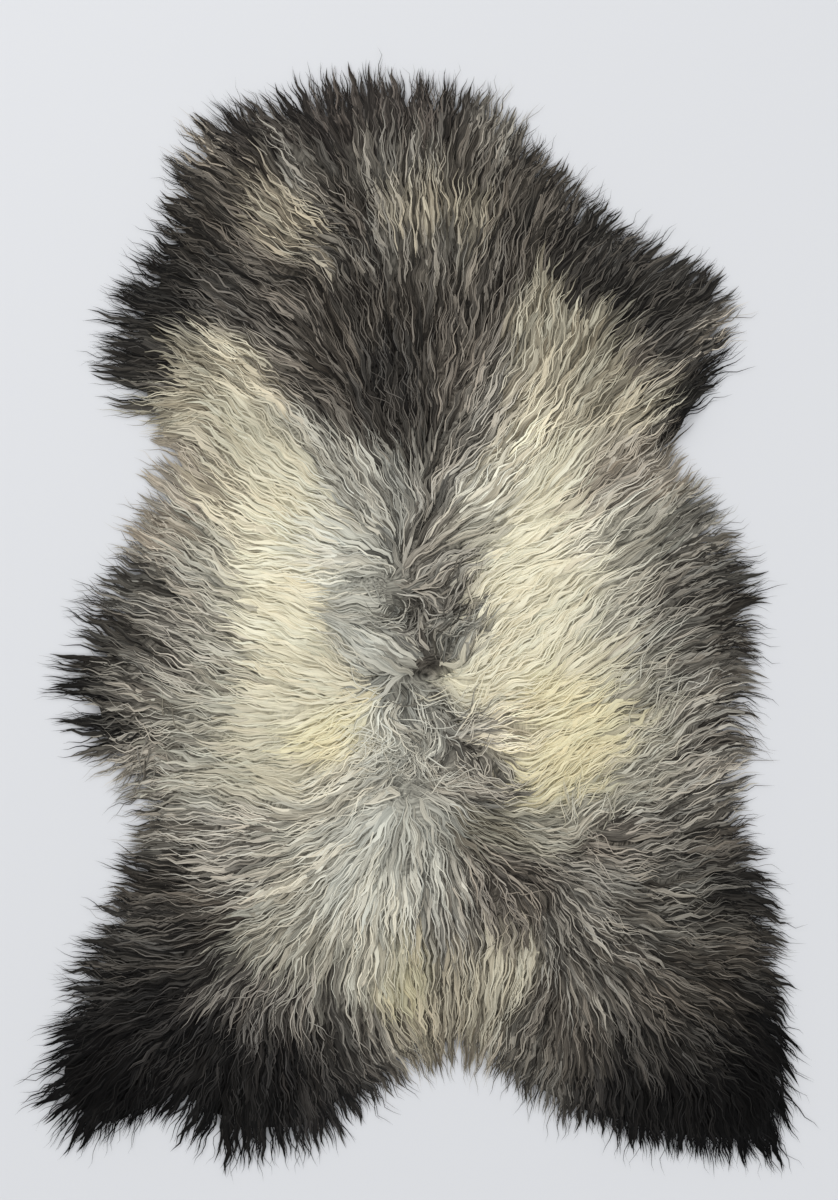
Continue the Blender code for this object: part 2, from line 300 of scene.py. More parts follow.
# Where each shade lies: rows of x, y, how far it reaches along and across its line, the line's
# heading in degrees, the shade and how bright it is there
shadePatches = dict(
    neck=(
        (-30, 518, 70, 28, 0, "dusk", 0.88), (78, 495, 34, 20, -40, "taupe", 0.9),
        (-160, 498, 40, 20, 30, "dusk", 0.54), (-222, 478, 16, 14, 0, "fawn", 0.86),
        (-138, 466, 34, 16, 120, "taupe", 0.86), (-200, 415, 40, 26, 60, "umber", 0.8),
        (-240, 395, 36, 24, 60, "umber", 0.62), (-138, 400, 42, 20, 130, "tan", 1.08),
        (-72, 400, 36, 16, 90, "umber", 0.72), (8, 412, 34, 26, 90, "tan", 1.0),
        (52, 400, 26, 18, 90, "tan", 0.93), (-20, 450, 34, 24, 0, "taupe", 0.84),
        (60, 455, 40, 22, -40, "umber", 0.82), (122, 415, 50, 24, -45, "umber", 0.79),
        (-20, 362, 70, 20, 0, "taupe", 0.78), (95, 375, 26, 26, 0, "umber", 0.8),
    ),
    shoulders=(
        (-265, 340, 44, 30, 60, "soot", 0.44), (-305, 285, 36, 28, 80, "soot", 0.56),
        (-332, 290, 12, 16, 90, "fawn", 0.8), (-296, 240, 34, 26, 70, "soot", 0.8),
        (-262, 296, 34, 24, 60, "soot", 0.66), (-118, 230, 40, 18, -45, "umber", 1.0),
        (-80, 208, 26, 14, -50, "umber", 0.72), (-200, 330, 44, 26, 150, "soot", 1.0),
        (-140, 325, 40, 24, 150, "umber", 0.88), (-60, 310, 46, 30, 0, "umber", 0.7),
        (10, 300, 40, 36, 0, "umber", 0.78), (60, 320, 26, 24, 0, "umber", 0.9),
        (-90, 262, 40, 22, -35, "umber", 0.78), (-25, 235, 26, 44, 0, "soot", 0.82),
        (-18, 190, 20, 22, 0, "umber", 0.7), (170, 378, 50, 24, -45, "soot", 0.72),
        (215, 330, 56, 32, -45, "soot", 0.78), (270, 300, 44, 34, -60, "soot", 0.78),
        (308, 290, 14, 24, 80, "fawn", 1.45), (285, 228, 30, 26, 40, "soot", 0.52),
        (258, 195, 26, 18, 60, "soot", 0.42), (222, 262, 24, 16, -60, "umber", 1.2),
        (40, 250, 30, 26, 60, "umber", 1.12),
    ),
    leftBack=(
        (-216, 256, 34, 16, 150, "oat", 0.79), (-176, 240, 44, 22, 140, "oat", 0.98),
        (-245, 210, 26, 26, 0, "oat", 0.86), (-255, 160, 22, 34, 80, "fawn", 0.94),
        (-165, 185, 50, 26, 125, "cream", 0.85), (-118, 188, 30, 16, 125, "stone", 0.84),
        (-85, 160, 40, 18, 120, "ash", 0.84), (-130, 130, 50, 26, 130, "cream", 0.94),
        (-195, 130, 40, 22, 120, "oat", 0.96), (-275, 95, 30, 26, 70, "fawn", 0.92),
        (-150, 70, 50, 30, 110, "cream", 1.0), (-90, 70, 30, 30, 90, "silver", 0.98),
        (-215, 55, 40, 28, 110, "stone", 0.84), (-58, 130, 30, 20, 115, "ash", 0.97),
    ),
    rightBack=(
        (70, 205, 40, 20, 60, "taupe", 0.94), (115, 285, 34, 20, 78, "oat", 0.84),
        (125, 245, 40, 26, 70, "oat", 0.92), (175, 262, 40, 20, 55, "oat", 0.8),
        (110, 195, 44, 24, 55, "oat", 1.07), (165, 210, 40, 22, 50, "oat", 0.83),
        (210, 205, 34, 18, 45, "oat", 0.98), (130, 140, 50, 30, 50, "cream", 0.96),
        (80, 130, 36, 18, 45, "stone", 1.08), (190, 150, 36, 26, 45, "fawn", 0.9),
        (240, 150, 26, 26, 45, "fawn", 0.88), (110, 75, 44, 30, 40, "cream", 1.01),
        (55, 85, 30, 18, 30, "stone", 0.79), (175, 90, 36, 26, 40, "stone", 1.0),
        (235, 85, 34, 26, 35, "stone", 0.74), (285, 90, 26, 26, 30, "taupe", 0.82),
    ),
    spine=(
        (-20, 130, 34, 18, 90, "ash", 0.76), (4, 110, 30, 16, 90, "taupe", 0.98),
        (10, 60, 34, 20, 80, "taupe", 1.08), (30, 30, 26, 18, 90, "taupe", 0.84),
        (6, 5, 34, 18, 90, "taupe", 0.77), (10, -42, 20, 14, 0, "umber", 0.84),
        (34, -20, 16, 22, 70, "ash", 0.8), (-30, 20, 34, 14, 90, "ash", 0.86),
        (-60, 30, 40, 18, 90, "silver", 0.82), (-40, -40, 24, 22, 0, "silver", 0.88),
    ),
    leftFlank=(
        (-285, 20, 40, 28, 70, "taupe", 0.71), (-240, 0, 44, 30, 100, "taupe", 0.95),
        (-325, -20, 30, 24, 70, "umber", 0.56), (-348, -66, 26, 34, 80, "soot", 0.5),
        (-335, -112, 28, 24, 110, "soot", 0.42), (-300, -60, 40, 20, 90, "taupe", 0.88),
        (-200, -40, 50, 24, 95, "stone", 0.86), (-150, -20, 60, 26, 95, "cream", 0.98),
        (-140, 15, 34, 22, 90, "cream", 1.0), (-100, -70, 34, 24, 0, "cream", 0.92),
        (-88, -112, 30, 24, 45, "butter", 1.0), (-160, -105, 40, 26, 0, "cream", 0.9),
        (-225, -105, 30, 30, 0, "stone", 0.77), (-280, -120, 28, 24, 0, "taupe", 1.0),
        (-150, -155, 50, 22, 0, "cream", 0.86), (-220, -165, 40, 26, 0, "stone", 0.86),
        (-275, -178, 24, 26, 0, "taupe", 0.82), (-90, -170, 40, 22, 0, "stone", 0.98),
    ),
    rightFlank=(
        (150, 20, 40, 26, 45, "cream", 0.98), (110, -5, 40, 24, 45, "cream", 0.98),
        (200, 20, 40, 24, 40, "stone", 0.92), (250, 25, 34, 24, 60, "taupe", 0.82),
        (290, 40, 30, 22, 60, "taupe", 0.63), (318, 10, 28, 22, 80, "umber", 0.56),
        (328, -45, 40, 20, 90, "umber", 0.64), (325, -105, 34, 22, 90, "umber", 0.68),
        (265, -20, 40, 24, 80, "taupe", 0.94), (225, -40, 36, 24, 60, "stone", 0.8),
        (170, -40, 36, 24, 50, "cream", 0.92), (70, -66, 34, 24, 0, "cream", 0.98),
        (140, -85, 44, 30, 30, "butter", 0.98), (185, -112, 24, 36, 90, "butter", 0.96),
        (95, -110, 34, 20, 20, "oat", 1.07), (230, -110, 34, 26, 30, "stone", 0.8),
        (285, -90, 34, 24, 60, "taupe", 0.96), (150, -150, 44, 24, 30, "butter", 0.96),
        (225, -150, 34, 22, 20, "stone", 0.84), (290, -150, 36, 26, 30, "taupe", 1.03),
        (320, -175, 24, 28, 80, "taupe", 0.92),
    ),
    loin=(
        (-20, -75, 30, 18, 0, "ash", 0.98), (10, -110, 30, 26, 0, "ash", 0.92),
        (-40, -125, 26, 26, 0, "silver", 0.94), (45, -120, 28, 26, 0, "taupe", 0.98),
        (10, -160, 34, 22, 0, "ash", 0.96), (-30, -160, 24, 20, 0, "silver", 0.8),
        (60, -165, 34, 18, 0, "taupe", 0.95),
    ),
    rump=(
        (0, -200, 34, 24, 0, "silver", 0.8), (-60, -205, 40, 24, 0, "silver", 0.9),
        (-120, -210, 40, 24, 0, "stone", 0.9), (-190, -210, 40, 24, 0, "taupe", 1.08),
        (-255, -225, 30, 22, 0, "taupe", 0.81), (-60, -260, 46, 34, 60, "silver", 0.92),
        (-125, -270, 40, 26, 30, "stone", 0.93), (-190, -265, 34, 20, 10, "taupe", 0.98),
        (-160, -318, 34, 20, 30, "stone", 0.77), (-105, -330, 34, 26, 60, "stone", 0.84),
        (-45, -330, 40, 28, 80, "stone", 0.93), (20, -260, 30, 24, 80, "ash", 1.0),
        (75, -215, 40, 18, -10, "oat", 0.6), (80, -250, 40, 20, -10, "umber", 1.04),
        (85, -290, 26, 26, 0, "umber", 1.0), (30, -310, 30, 30, 80, "taupe", 0.95),
        (130, -205, 30, 22, 20, "stone", 0.84),
    ),
    tail=(
        (-12, -370, 26, 44, 0, "butter", 0.82), (30, -370, 24, 40, 0, "tan", 0.98),
        (75, -350, 34, 30, 80, "oat", 0.86), (60, -405, 34, 30, 80, "oat", 0.8),
        (5, -420, 26, 26, 0, "tan", 0.94), (45, -440, 34, 14, 0, "fawn", 0.68),
        (100, -420, 30, 26, 60, "taupe", 0.82),
    ),
    leftHindLeg=(
        (-275, -258, 34, 20, 0, "umber", 0.7), (-290, -300, 44, 24, 0, "soot", 0.85),
        (-235, -290, 34, 22, 0, "umber", 0.78), (-240, -335, 44, 22, 0, "soot", 0.8),
        (-315, -350, 40, 30, 90, "soot", 0.68), (-280, -395, 50, 26, 0, "jet", 1.4),
        (-190, -372, 30, 14, 20, "soot", 1.35), (-330, -440, 46, 40, 60, "jet", 0.8),
        (-330, -495, 40, 24, 0, "jet", 0.52), (-230, -430, 50, 34, 0, "jet", 1.3),
        (-150, -390, 34, 20, 20, "soot", 1.2), (-110, -378, 30, 18, 20, "taupe", 0.92),
        (-220, -495, 40, 30, 0, "jet", 0.6), (-150, -450, 44, 30, 0, "jet", 1.25),
        (-150, -515, 50, 30, 0, "jet", 1.15), (-80, -440, 40, 26, -30, "soot", 0.86),
        (-40, -415, 30, 18, -30, "taupe", 0.92), (-80, -490, 36, 26, 0, "jet", 1.6),
        (-30, -462, 30, 16, -30, "soot", 1.2),
    ),
    rightHindLeg=(
        (200, -225, 36, 16, 10, "umber", 1.16), (190, -262, 40, 16, -20, "taupe", 0.79),
        (250, -215, 44, 20, 15, "taupe", 0.82), (312, -222, 34, 22, 20, "umber", 0.74),
        (250, -262, 44, 20, 0, "taupe", 0.8), (322, -262, 30, 22, 0, "soot", 0.6),
        (348, -280, 26, 34, 90, "soot", 0.54), (150, -315, 30, 24, -50, "taupe", 0.79),
        (205, -315, 40, 22, -30, "taupe", 0.92), (265, -310, 40, 22, 0, "taupe", 0.66),
        (325, -330, 30, 30, 0, "umber", 0.74), (352, -360, 20, 40, 90, "soot", 0.48),
        (170, -370, 34, 24, -70, "taupe", 0.88), (225, -370, 40, 24, -50, "umber", 0.9),
        (285, -370, 40, 24, -30, "umber", 0.74), (130, -385, 20, 20, 0, "umber", 0.78),
        (160, -425, 34, 24, 90, "umber", 0.9), (215, -425, 36, 24, 90, "soot", 0.72),
        (280, -430, 40, 26, -40, "soot", 0.62), (345, -430, 34, 34, 90, "jet", 0.62),
        (190, -470, 40, 22, 0, "jet", 1.35), (260, -485, 50, 26, 0, "jet", 0.75),
        (340, -495, 50, 36, 0, "jet", 0.48), (130, -475, 20, 20, 0, "taupe", 0.66),
    ),
)

# Where the wool is more unruly than elsewhere: rows of x, y, reach and how much
curlPatches = dict(
    loin=(0, -125, 62, 1.0),
    spine=(12, 5, 40, 0.75),
    whorl=(-20, 215, 30, 0.45),
    rightSeam=(170, -205, 34, 0.8),
    saddle=(225, -105, 44, 0.5),
    bellyLeft=(-262, -128, 50, 0.55),
    hipLeft=(-140, -385, 40, 0.4),
    rumpRight=(90, -280, 34, 0.5),
    hipRight=(245, -285, 44, 0.35),
    neckWhorl=(-75, 400, 26, 0.4),
)

# Where the wool parts almost down to the skin: rows of x, y, how far the pit reaches along and across
# its line, the line's heading, its depth in mm and how much painted shade darkens its colour
pitPatches = dict(
    spine=(
        (8, 133, 7, 5, 90, 4, 0.35), (24, 117, 8, 4, 70, 4, 0.4), (8, 98, 8, 6, 0, 5, 0.45),
        (-28, 60, 12, 6, 75, 4, 0.3), (-62, 38, 8, 4, 0, 4, 0.4), (37, 65, 11, 4, 15, 4, 0.4),
        (26, 1, 10, 5, 30, 4, 0.4), (-18, 4, 15, 10, 0, 4, 0.3),
    ),
    knot=(
        (24, -52, 15, 4, -12, 5, 0.62), (14, -42, 10, 4, 90, 4, 0.4), (-6, -58, 16, 5, 0, 5, 0.6),
        (-43, -57, 17, 6, 5, 5, 0.5),
    ),
    loin=(
        (-15, -73, 13, 8, 0, 5, 0.4), (-12, -89, 15, 7, 0, 4, 0.35), (8, -117, 7, 7, 0, 6, 0.55),
        (40, -128, 13, 8, 0, 4, 0.35), (-21, -170, 15, 4, 90, 4, 0.45), (60, -181, 15, 5, 0, 5, 0.45),
        (-28, -228, 13, 7, 80, 4, 0.35), (-12, -246, 14, 6, 90, 4, 0.3),
    ),
)

# Where the wool rooted near the skin's edge runs out further: rows of x, y, reach and how much, in mm
longPatches = dict(
    neckLeft=(-105, 505, 60, 16), neckCorner=(-190, 440, 42, 10), shoulderLeft=(-255, 305, 50, 10),
    forelegLeft=(-252, 214, 30, 26), backLeft=(-238, 146, 48, 10), flankLeft=(-285, -20, 42, 28),
    flankTip=(-306, -34, 16, 36), flankNotch=(-300, -100, 22, 26), bellyLeft=(-262, -165, 48, 16),
    hipLeft=(-305, -368, 56, 14), footLeft=(-345, -474, 40, 18), innerFootLeft=(-205, -488, 44, 24),
    hockLeft=(-85, -490, 26, 26), tail=(40, -415, 46, 18), neckRight=(70, 480, 50, 5),
    shoulderRight=(160, 395, 44, 5), forelegRight=(256, 208, 34, 13), backRight=(250, 100, 36, 8),
    flankTopRight=(292, 20, 24, 14), flankRight=(290, -20, 16, -8), flankLowRight=(290, -80, 34, 12),
    bellyRight=(285, -170, 50, 6), hipRight=(330, -345, 26, -6), footRight=(354, -476, 32, 36),
)

fieldLook = dict(
    pitch=0.004,        # between the guide's points
    halfWidth=0.424,
    halfLength=0.584,
    combReach=30,       # mm, how far one stroke of the comb is felt
    combFaint=0.0006,   # how much it is felt beyond that
    whorlReach=11,      # mm, the same for the strokes of the whorls
    whorlHold=2.4,      # how much more a whorl's stroke counts than one of the comb
    shadeFall=1.3,      # how fast a shade gives way to the next
    shadeFaint=0.0002,
    longestWalk=26,     # cells of the guide that a hair can cross
    streamSteps=8,      # cells that a stream of like hairs runs each way
    streamSpread=0.27,  # how far the streams differ in tone and height
    streamSeed=7,
    partingFull=45.0,   # spread of the comb at which a parting is as thick with roots as can be
    partingBlur=3,
    rayFrom=0.2,        # the height that the solid is sounded from
    crownBlur=5,
    floorCrown=0.0025,  # the wool's height where it lies on the floor
    outlineBlur=9,      # rounds of blur that close the bays between the solid's locks
    outlineGrown=0.10,  # how much wool a blurred cell needs while the outline is grown
    outlineCut=0.72,    # and when it is cut back to size
    warp=9,             # mm, how far the edges of the shades wander
    warpSize=34,        # mm
    unruly=99.2,        # degrees that the wool turns where it is most unruly
    unrulySize=30,      # mm
    sway=12,            # degrees that it turns everywhere
    swaySize=36,        # mm
)


def rowsOf(table):
    return [row for rows in table.values() for row in rows]


def slopes(x, y, shape):
    # how fast a field of directions spreads at each place of the grid
    pitch = fieldLook["pitch"]
    return np.gradient(x.reshape(shape), pitch, axis=1) + np.gradient(y.reshape(shape), pitch, axis=0)


def distanceAlong(headings, shape):
    # how far along the headings each place is, as well as one number can say it: the potential
    # whose slope is nearest to them, from their divergence on a mirrored grid
    pitch = fieldLook["pitch"]
    spread = slopes(np.cos(headings), np.sin(headings), shape)
    wide = np.concatenate([spread, spread[:, ::-1]], axis=1)
    wide = np.concatenate([wide, wide[::-1]], axis=0)
    turnsY = np.fft.fftfreq(wide.shape[0], pitch)[:, None] * math.tau
    turnsX = np.fft.fftfreq(wide.shape[1], pitch)[None, :] * math.tau
    squares = turnsX ** 2 + turnsY ** 2
    squares[0, 0] = 1.0
    potential = np.fft.ifft2(-np.fft.fft2(wide) / squares).real
    return potential[:shape[0], :shape[1]].ravel()


def softNoise(places, size, layer):
    # noise of a size in mm; another layer is another noise
    return np.array([noise.noise(Vector((x / size, y / size, layer))) for x, y in places])


def blurred(grid, times):
    for _ in range(times):
        padded = np.pad(grid, 1, mode="edge")
        grid = (padded[1:-1, 1:-1] * 2 + padded[:-2, 1:-1] + padded[2:, 1:-1]
                + padded[1:-1, :-2] + padded[1:-1, 2:]) / 6.0
    return grid


def ovalGap(places, x, y, along, across=None, heading=0.0):
    # how far each place is from the middle of an oval, squared, and 1 on the oval itself
    cos, sin = math.cos(math.radians(heading)), math.sin(math.radians(heading))
    dx, dy = places[:, 0] - x, places[:, 1] - y
    return ((dx * cos + dy * sin) / along) ** 2 + ((dy * cos - dx * sin) / (across or along)) ** 2


def combHeadings(places):
    # the strokes blended over the places, as headings in radians
    total = np.zeros((len(places), 2))
    for strokes, reach, hold, faint in (
        (combStrokes, fieldLook["combReach"], 1.0, fieldLook["combFaint"]),
        (whorlStrokes, fieldLook["whorlReach"], fieldLook["whorlHold"], 0.0),
    ):
        for x, y, heading in rowsOf(strokes):
            gap = ovalGap(places, x, y, reach)
            weight = hold * np.exp(-gap) + faint / (1.0 + gap) ** 2
            total += weight[:, None] * (math.cos(math.radians(heading)), math.sin(math.radians(heading)))
    return np.arctan2(total[:, 1], total[:, 0])


def curlAmount(places):
    amount = np.zeros(len(places))
    for x, y, reach, much in curlPatches.values():
        amount = np.maximum(amount, much * np.exp(-ovalGap(places, x, y, reach)))
    return amount


def woolPits(places):
    # how deep the wool dips at each place, in metres, and the share of its colour left under the painted
    # shade there
    depth = np.zeros(len(places))
    left = np.ones(len(places))
    for *oval, deep, darker in rowsOf(pitPatches):
        share = np.exp(-ovalGap(places, *oval))
        depth = np.maximum(depth, share * deep * mm)
        left = np.minimum(left, 1.0 - darker * share)
    return depth, left


def woolShades(places):
    # the deep and the light colour at each place, in linear light
    wander = np.stack([softNoise(places, fieldLook["warpSize"], layer) for layer in (3.0, 11.0)], axis=1)
    warped = places + wander * fieldLook["warp"]
    deep = np.zeros((len(places), 3))
    light = np.zeros((len(places), 3))
    sums = np.zeros(len(places))
    for *oval, shade, bright in rowsOf(shadePatches):
        gap = ovalGap(warped, *oval)
        weight = np.exp(-gap * fieldLook["shadeFall"]) + fieldLook["shadeFaint"] / (1.0 + gap) ** 2
        deep += weight[:, None] * np.array(shades[shade][0]) * bright
        light += weight[:, None] * np.array(shades[shade][1]) * bright
        sums += weight
    return np.stack([linear(deep / sums[:, None]), linear(light / sums[:, None])])


def woolHeights(places):
    # the height of the fleece's solid under each place, and 0 beside it
    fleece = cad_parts["fleece"].data
    corners = [vertex.co for vertex in fleece.vertices]
    tree = BVHTree.FromPolygons(corners, [tuple(face.vertices) for face in fleece.polygons])
    heights = []
    for x, y in places:
        above = Vector((x * mm, y * mm, fieldLook["rayFrom"]))
        hit = tree.ray_cast(above, Vector((0.0, 0.0, -1.0)))[0]
        heights.append(hit.z if hit else 0.0)
    return np.array(heights)


def woolOutline(heights):
    # where the wool lies, without the bays between the locks at the solid's rim
    there = (heights > 0.0).astype(float)
    grown = (blurred(there, fieldLook["outlineBlur"]) > fieldLook["outlineGrown"]).astype(float)
    return blurred(grown, fieldLook["outlineBlur"]) > fieldLook["outlineCut"]


def cellsAlong(headings, shape, steps, way=1.0):
    # for every cell of the guide, the cells that a walk along the comb from it comes to
    rows, columns = shape
    row, column = np.indices(shape).reshape(2, -1).astype(float)
    for _ in range(steps):
        nearest = (np.clip(row.round().astype(int), 0, rows - 1) * columns
                   + np.clip(column.round().astype(int), 0, columns - 1))
        yield nearest
        column = column + way * np.cos(headings[nearest])
        row = row + way * np.sin(headings[nearest])


def roomAhead(headings, covered, shape, places):
    # how far the wool can run along the comb before it passes the fleece's outline
    alive = covered.ravel().copy()
    room = np.zeros(len(alive))
    for nearest in cellsAlong(headings, shape, fieldLook["longestWalk"]):
        alive &= covered.ravel()[nearest]
        room += alive * fieldLook["pitch"]
    for x, y, reach, further in longPatches.values():
        room += np.exp(-ovalGap(places, x, y, reach)) * further * mm
    return room


def woolStreams(headings, shape):
    # noise drawn out along the comb, from 0 to 1: hairs that lie side by side in a lock share it
    grains = np.random.default_rng(fieldLook["streamSeed"]).random(len(headings))
    total = np.zeros(len(headings))
    for way in (1.0, -1.0):
        for nearest in cellsAlong(headings, shape, fieldLook["streamSteps"], way):
            total += grains[nearest]
    total = blurred(total.reshape(shape), 1).ravel()
    level = (total - total.mean()) / total.std()
    return np.clip(0.5 + fieldLook["streamSpread"] * level, 0.0, 1.0)


def makeField():
    # everything that the wool needs to know about a place, on a flat grid over the pelt
    pitch = fieldLook["pitch"]
    xs = np.arange(-fieldLook["halfWidth"], fieldLook["halfWidth"] + pitch / 2, pitch)
    ys = np.arange(-fieldLook["halfLength"], fieldLook["halfLength"] + pitch / 2, pitch)
    shape = (len(ys), len(xs))
    places = np.stack([grid.ravel() for grid in np.meshgrid(xs, ys)], axis=1) / mm
    curl = curlAmount(places)
    calm = combHeadings(places)
    unruly = softNoise(places, fieldLook["unrulySize"], layer=21.0) * fieldLook["unruly"] * curl
    sway = softNoise(places, fieldLook["swaySize"], layer=33.0) * fieldLook["sway"]
    headings = calm + np.radians(unruly + sway)
    spread = blurred(slopes(np.cos(calm), np.sin(calm), shape), fieldLook["partingBlur"])
    heights = woolHeights(places).reshape(shape)
    pits, lit = woolPits(places)
    crown = blurred(heights, fieldLook["crownBlur"]) - pits.reshape(shape)
    crown = np.maximum(crown, fieldLook["floorCrown"])
    # the pits' painted shade darkens both colours there
    deep, light = woolShades(places) * lit[:, None] ** 2
    room = roomAhead(headings, woolOutline(heights), shape, places)
    return dict(
        shape=shape, places=places * mm, deep=deep, light=light, curl=curl,
        parting=np.clip(spread / fieldLook["partingFull"], 0.0, 1.0).ravel(),
        comb=np.stack([np.cos(headings), np.sin(headings), np.zeros(len(headings))], axis=1),
        form=np.stack([crown.ravel(), curl, room], axis=1),
        crimp=np.stack([distanceAlong(headings, shape), distanceAlong(headings + math.pi / 2, shape),
                        woolStreams(headings, shape)], axis=1),
    )


skinLook = dict(
    thickness=0.002,
    edgeRound=0.0006,
    weld=1e-5,          # between corners of the hide's loose triangles
)


def skinLoop():
    # the cut edge of the skin, in order, from the foot of the hide's wall
    bm = bmesh.new()
    bm.from_mesh(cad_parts["hide"].data)
    bmesh.ops.remove_doubles(bm, verts=bm.verts, dist=skinLook["weld"])
    bm.normal_update()
    ways = {}
    for edge in bm.edges:
        low = max(vertex.co.z for vertex in edge.verts) < skinLook["thickness"] / 4
        flats = [abs(face.normal.z) > 0.5 for face in edge.link_faces]
        if low and any(flats) and not all(flats):
            a, b = edge.verts
            ways.setdefault(a, []).append(b)
            ways.setdefault(b, []).append(a)
    start = next(iter(ways))
    loop = [start.co.xy.copy()]
    before, here = start, ways[start][0]
    while here is not start:
        loop.append(here.co.xy.copy())
        before, here = here, next(other for other in ways[here] if other is not before)
    bm.free()
    loop = np.array(loop)
    area = 0.5 * np.sum(loop[:, 0] * np.roll(loop[:, 1], -1) - loop[:, 1] * np.roll(loop[:, 0], -1))
    return loop if area > 0 else loop[::-1]


def insideDistance(places, loop):
    # how far inside the loop each place is, and below 0 outside it
    nearest = np.full(len(places), np.inf)
    inside = np.zeros(len(places), dtype=bool)
    for start, end in zip(loop, np.roll(loop, -1, axis=0)):
        run = end - start
        share = np.clip(((places - start) @ run) / (run @ run), 0.0, 1.0)
        nearest = np.minimum(nearest, np.linalg.norm(places - start - share[:, None] * run, axis=1))
        crosses = (start[1] > places[:, 1]) != (end[1] > places[:, 1])
        if crosses.any():
            where = start[0] + (places[crosses, 1] - start[1]) / run[1] * run[0]
            inside[crosses] ^= places[crosses, 0] < where
    return np.where(inside, nearest, -nearest)


def gridMesh(name, field, wanted, layers, heights=None):
    # the cells of the field's grid that are wanted, flat on the floor or lifted to the heights,
    # with layers of values
    rows, columns = field["shape"]
    index = np.arange(rows * columns).reshape(rows, columns)
    cells = np.stack([index[:-1, :-1], index[:-1, 1:], index[1:, 1:], index[1:, :-1]], axis=2)
    cells = cells[wanted.reshape(rows, columns)[:-1, :-1]]
    used, renumbered = np.unique(cells, return_inverse=True)
    corners = np.zeros((len(used), 3))
    corners[:, :2] = field["places"][used]
    if heights is not None:
        corners[:, 2] = heights[used]
    mesh = bpy.data.meshes.new(name)
    mesh.from_pydata(corners.tolist(), [], renumbered.reshape(-1, 4).tolist())
    for label, values in layers.items():
        kind, slot = ("FLOAT_VECTOR", "vector") if values.ndim == 2 else ("FLOAT", "value")
        layer = mesh.attributes.new(label, kind, "POINT")
        layer.data.foreach_set(slot, values[used].astype(np.float32).ravel())
    mesh.update()
    return mesh


# The tree that grows wool on a flat root area: it plants hairs, runs each along the comb, draws them
# together into wavy locks, and makes every hair a closed tapering tube of three sides

woolSockets = dict(
    Geometry="NodeSocketGeometry", Guide="NodeSocketObject", Material="NodeSocketMaterial",
    **{name: "NodeSocketInt" for name in ("Seed", "LockSeed", "Stations")},
    **{name: "NodeSocketFloat" for name in (
        "Apart", "Density", "Length", "LengthSpread", "Overreach", "Width", "Flatness", "LockSpacing",
        "Gather", "Dome", "LockRise", "WaveLength", "WaveHeight", "Stray", "Rooting", "Rise", "Loft",
        "ToneLow", "ToneHigh", "RootShade", "Backset", "LockPhase", "Taper")},
)

# What the hairs of every piece share. A pair is where an eased rise starts and where it ends, unless
# its note says otherwise.
hairLook = dict(
    lockDensity=60000.0,       # places offered to locks on a square metre, before LockSpacing
    ownLuck=0.60,              # of a hair's luck, and the rest is its stream's
    luckRange=(0.12, 0.88),
    rootLean=(0.0, 0.25),      # of the hair, over which it turns from its root's comb to its place's
    backset=(-1.2, -0.4),      # times the Backset, by dice
    rimRoom=(0.060, 0.115),    # m ahead, between which a hair comes down to its usual length
    rimExtra=0.5,              # how much longer it is where the rim is near
    rimClear=0.004,
    lengthBlend=0.012,
    shortest=0.014,
    ownStray=0.9,              # how much a hair strays by its own dice, next to its lock's
    wildCurl=1.4,              # how much more the wool strays where it curls
    drawnIn=(0.0, 0.9),
    phaseSpread=0.10,          # of a wave, between the hairs of a lock
    waveTall=(0.2, 1.2, 0.3),  # times the WaveHeight: at least, by the lock's dice and by the hair's
    curlTall=0.9,              # how much taller waves are where the wool curls
    waveGrows=(0.02, 0.45),
    waveTilt=0.45,             # how far a wave goes up and down, to how far it goes sideways
    rootPower=3.0,             # how suddenly a hair dives in at its root
    lockRadius=0.75,           # of the spacing, by which the way out from a lock's middle is counted
    domeTop=0.45,
    domeEnd=1.3,
    swells=(0.1, 0.8),
    thinCrown=(0.002, 0.024),  # m, the crown over which the wool gets its full relief
    lowest=(0.0012, 0.002),    # m over the floor, at least and by dice
    colourAt=(0.35, 0.35),     # of the hair, where its colour is taken from, at least and by dice
    brightRange=(0.05, 0.70),
    contrast=(4.15, -2.85),    # the power that luck is raised to in dark wool, and less in light
    # where the painted shade at a hair's root gives way to its own colour
    rootDark=(0.05, 0.60),
    warmth=0.04,
    thickest=0.52,             # half the width, with what luck and dice take and give
    thinByLuck=-0.34,
    thickByDice=0.26,
    rootTaper=3.2,
    creaseAngle=115.0,
    cellsWide=6.0,             # the atlas's columns to its rows
    sideMargin=0.08,           # of a hair's cell there
    endMargin=0.04,
)


def sampled(guide, name, place):
    # the guide's value at a place, whatever its height
    return put(guide.tree, "GeometryNodeSampleNearestSurface", {
        "Mesh": guide, "Value": vectorOf(guide.tree, name),
        "Sample Position": vectors("MULTIPLY", place, (1.0, 1.0, 0.0)),
    }, data_type="FLOAT_VECTOR")


def leftOf(heading):
    x, y, _ = parts(heading)
    return joined(y * -1.0, x, 0.0)


def alongHair(tree, given):
    # a station's share of the way from root to tip, and its number
    station = put(tree, "GeometryNodeSplineParameter").of("Index")
    return station / (given("Stations") - 1.0), station


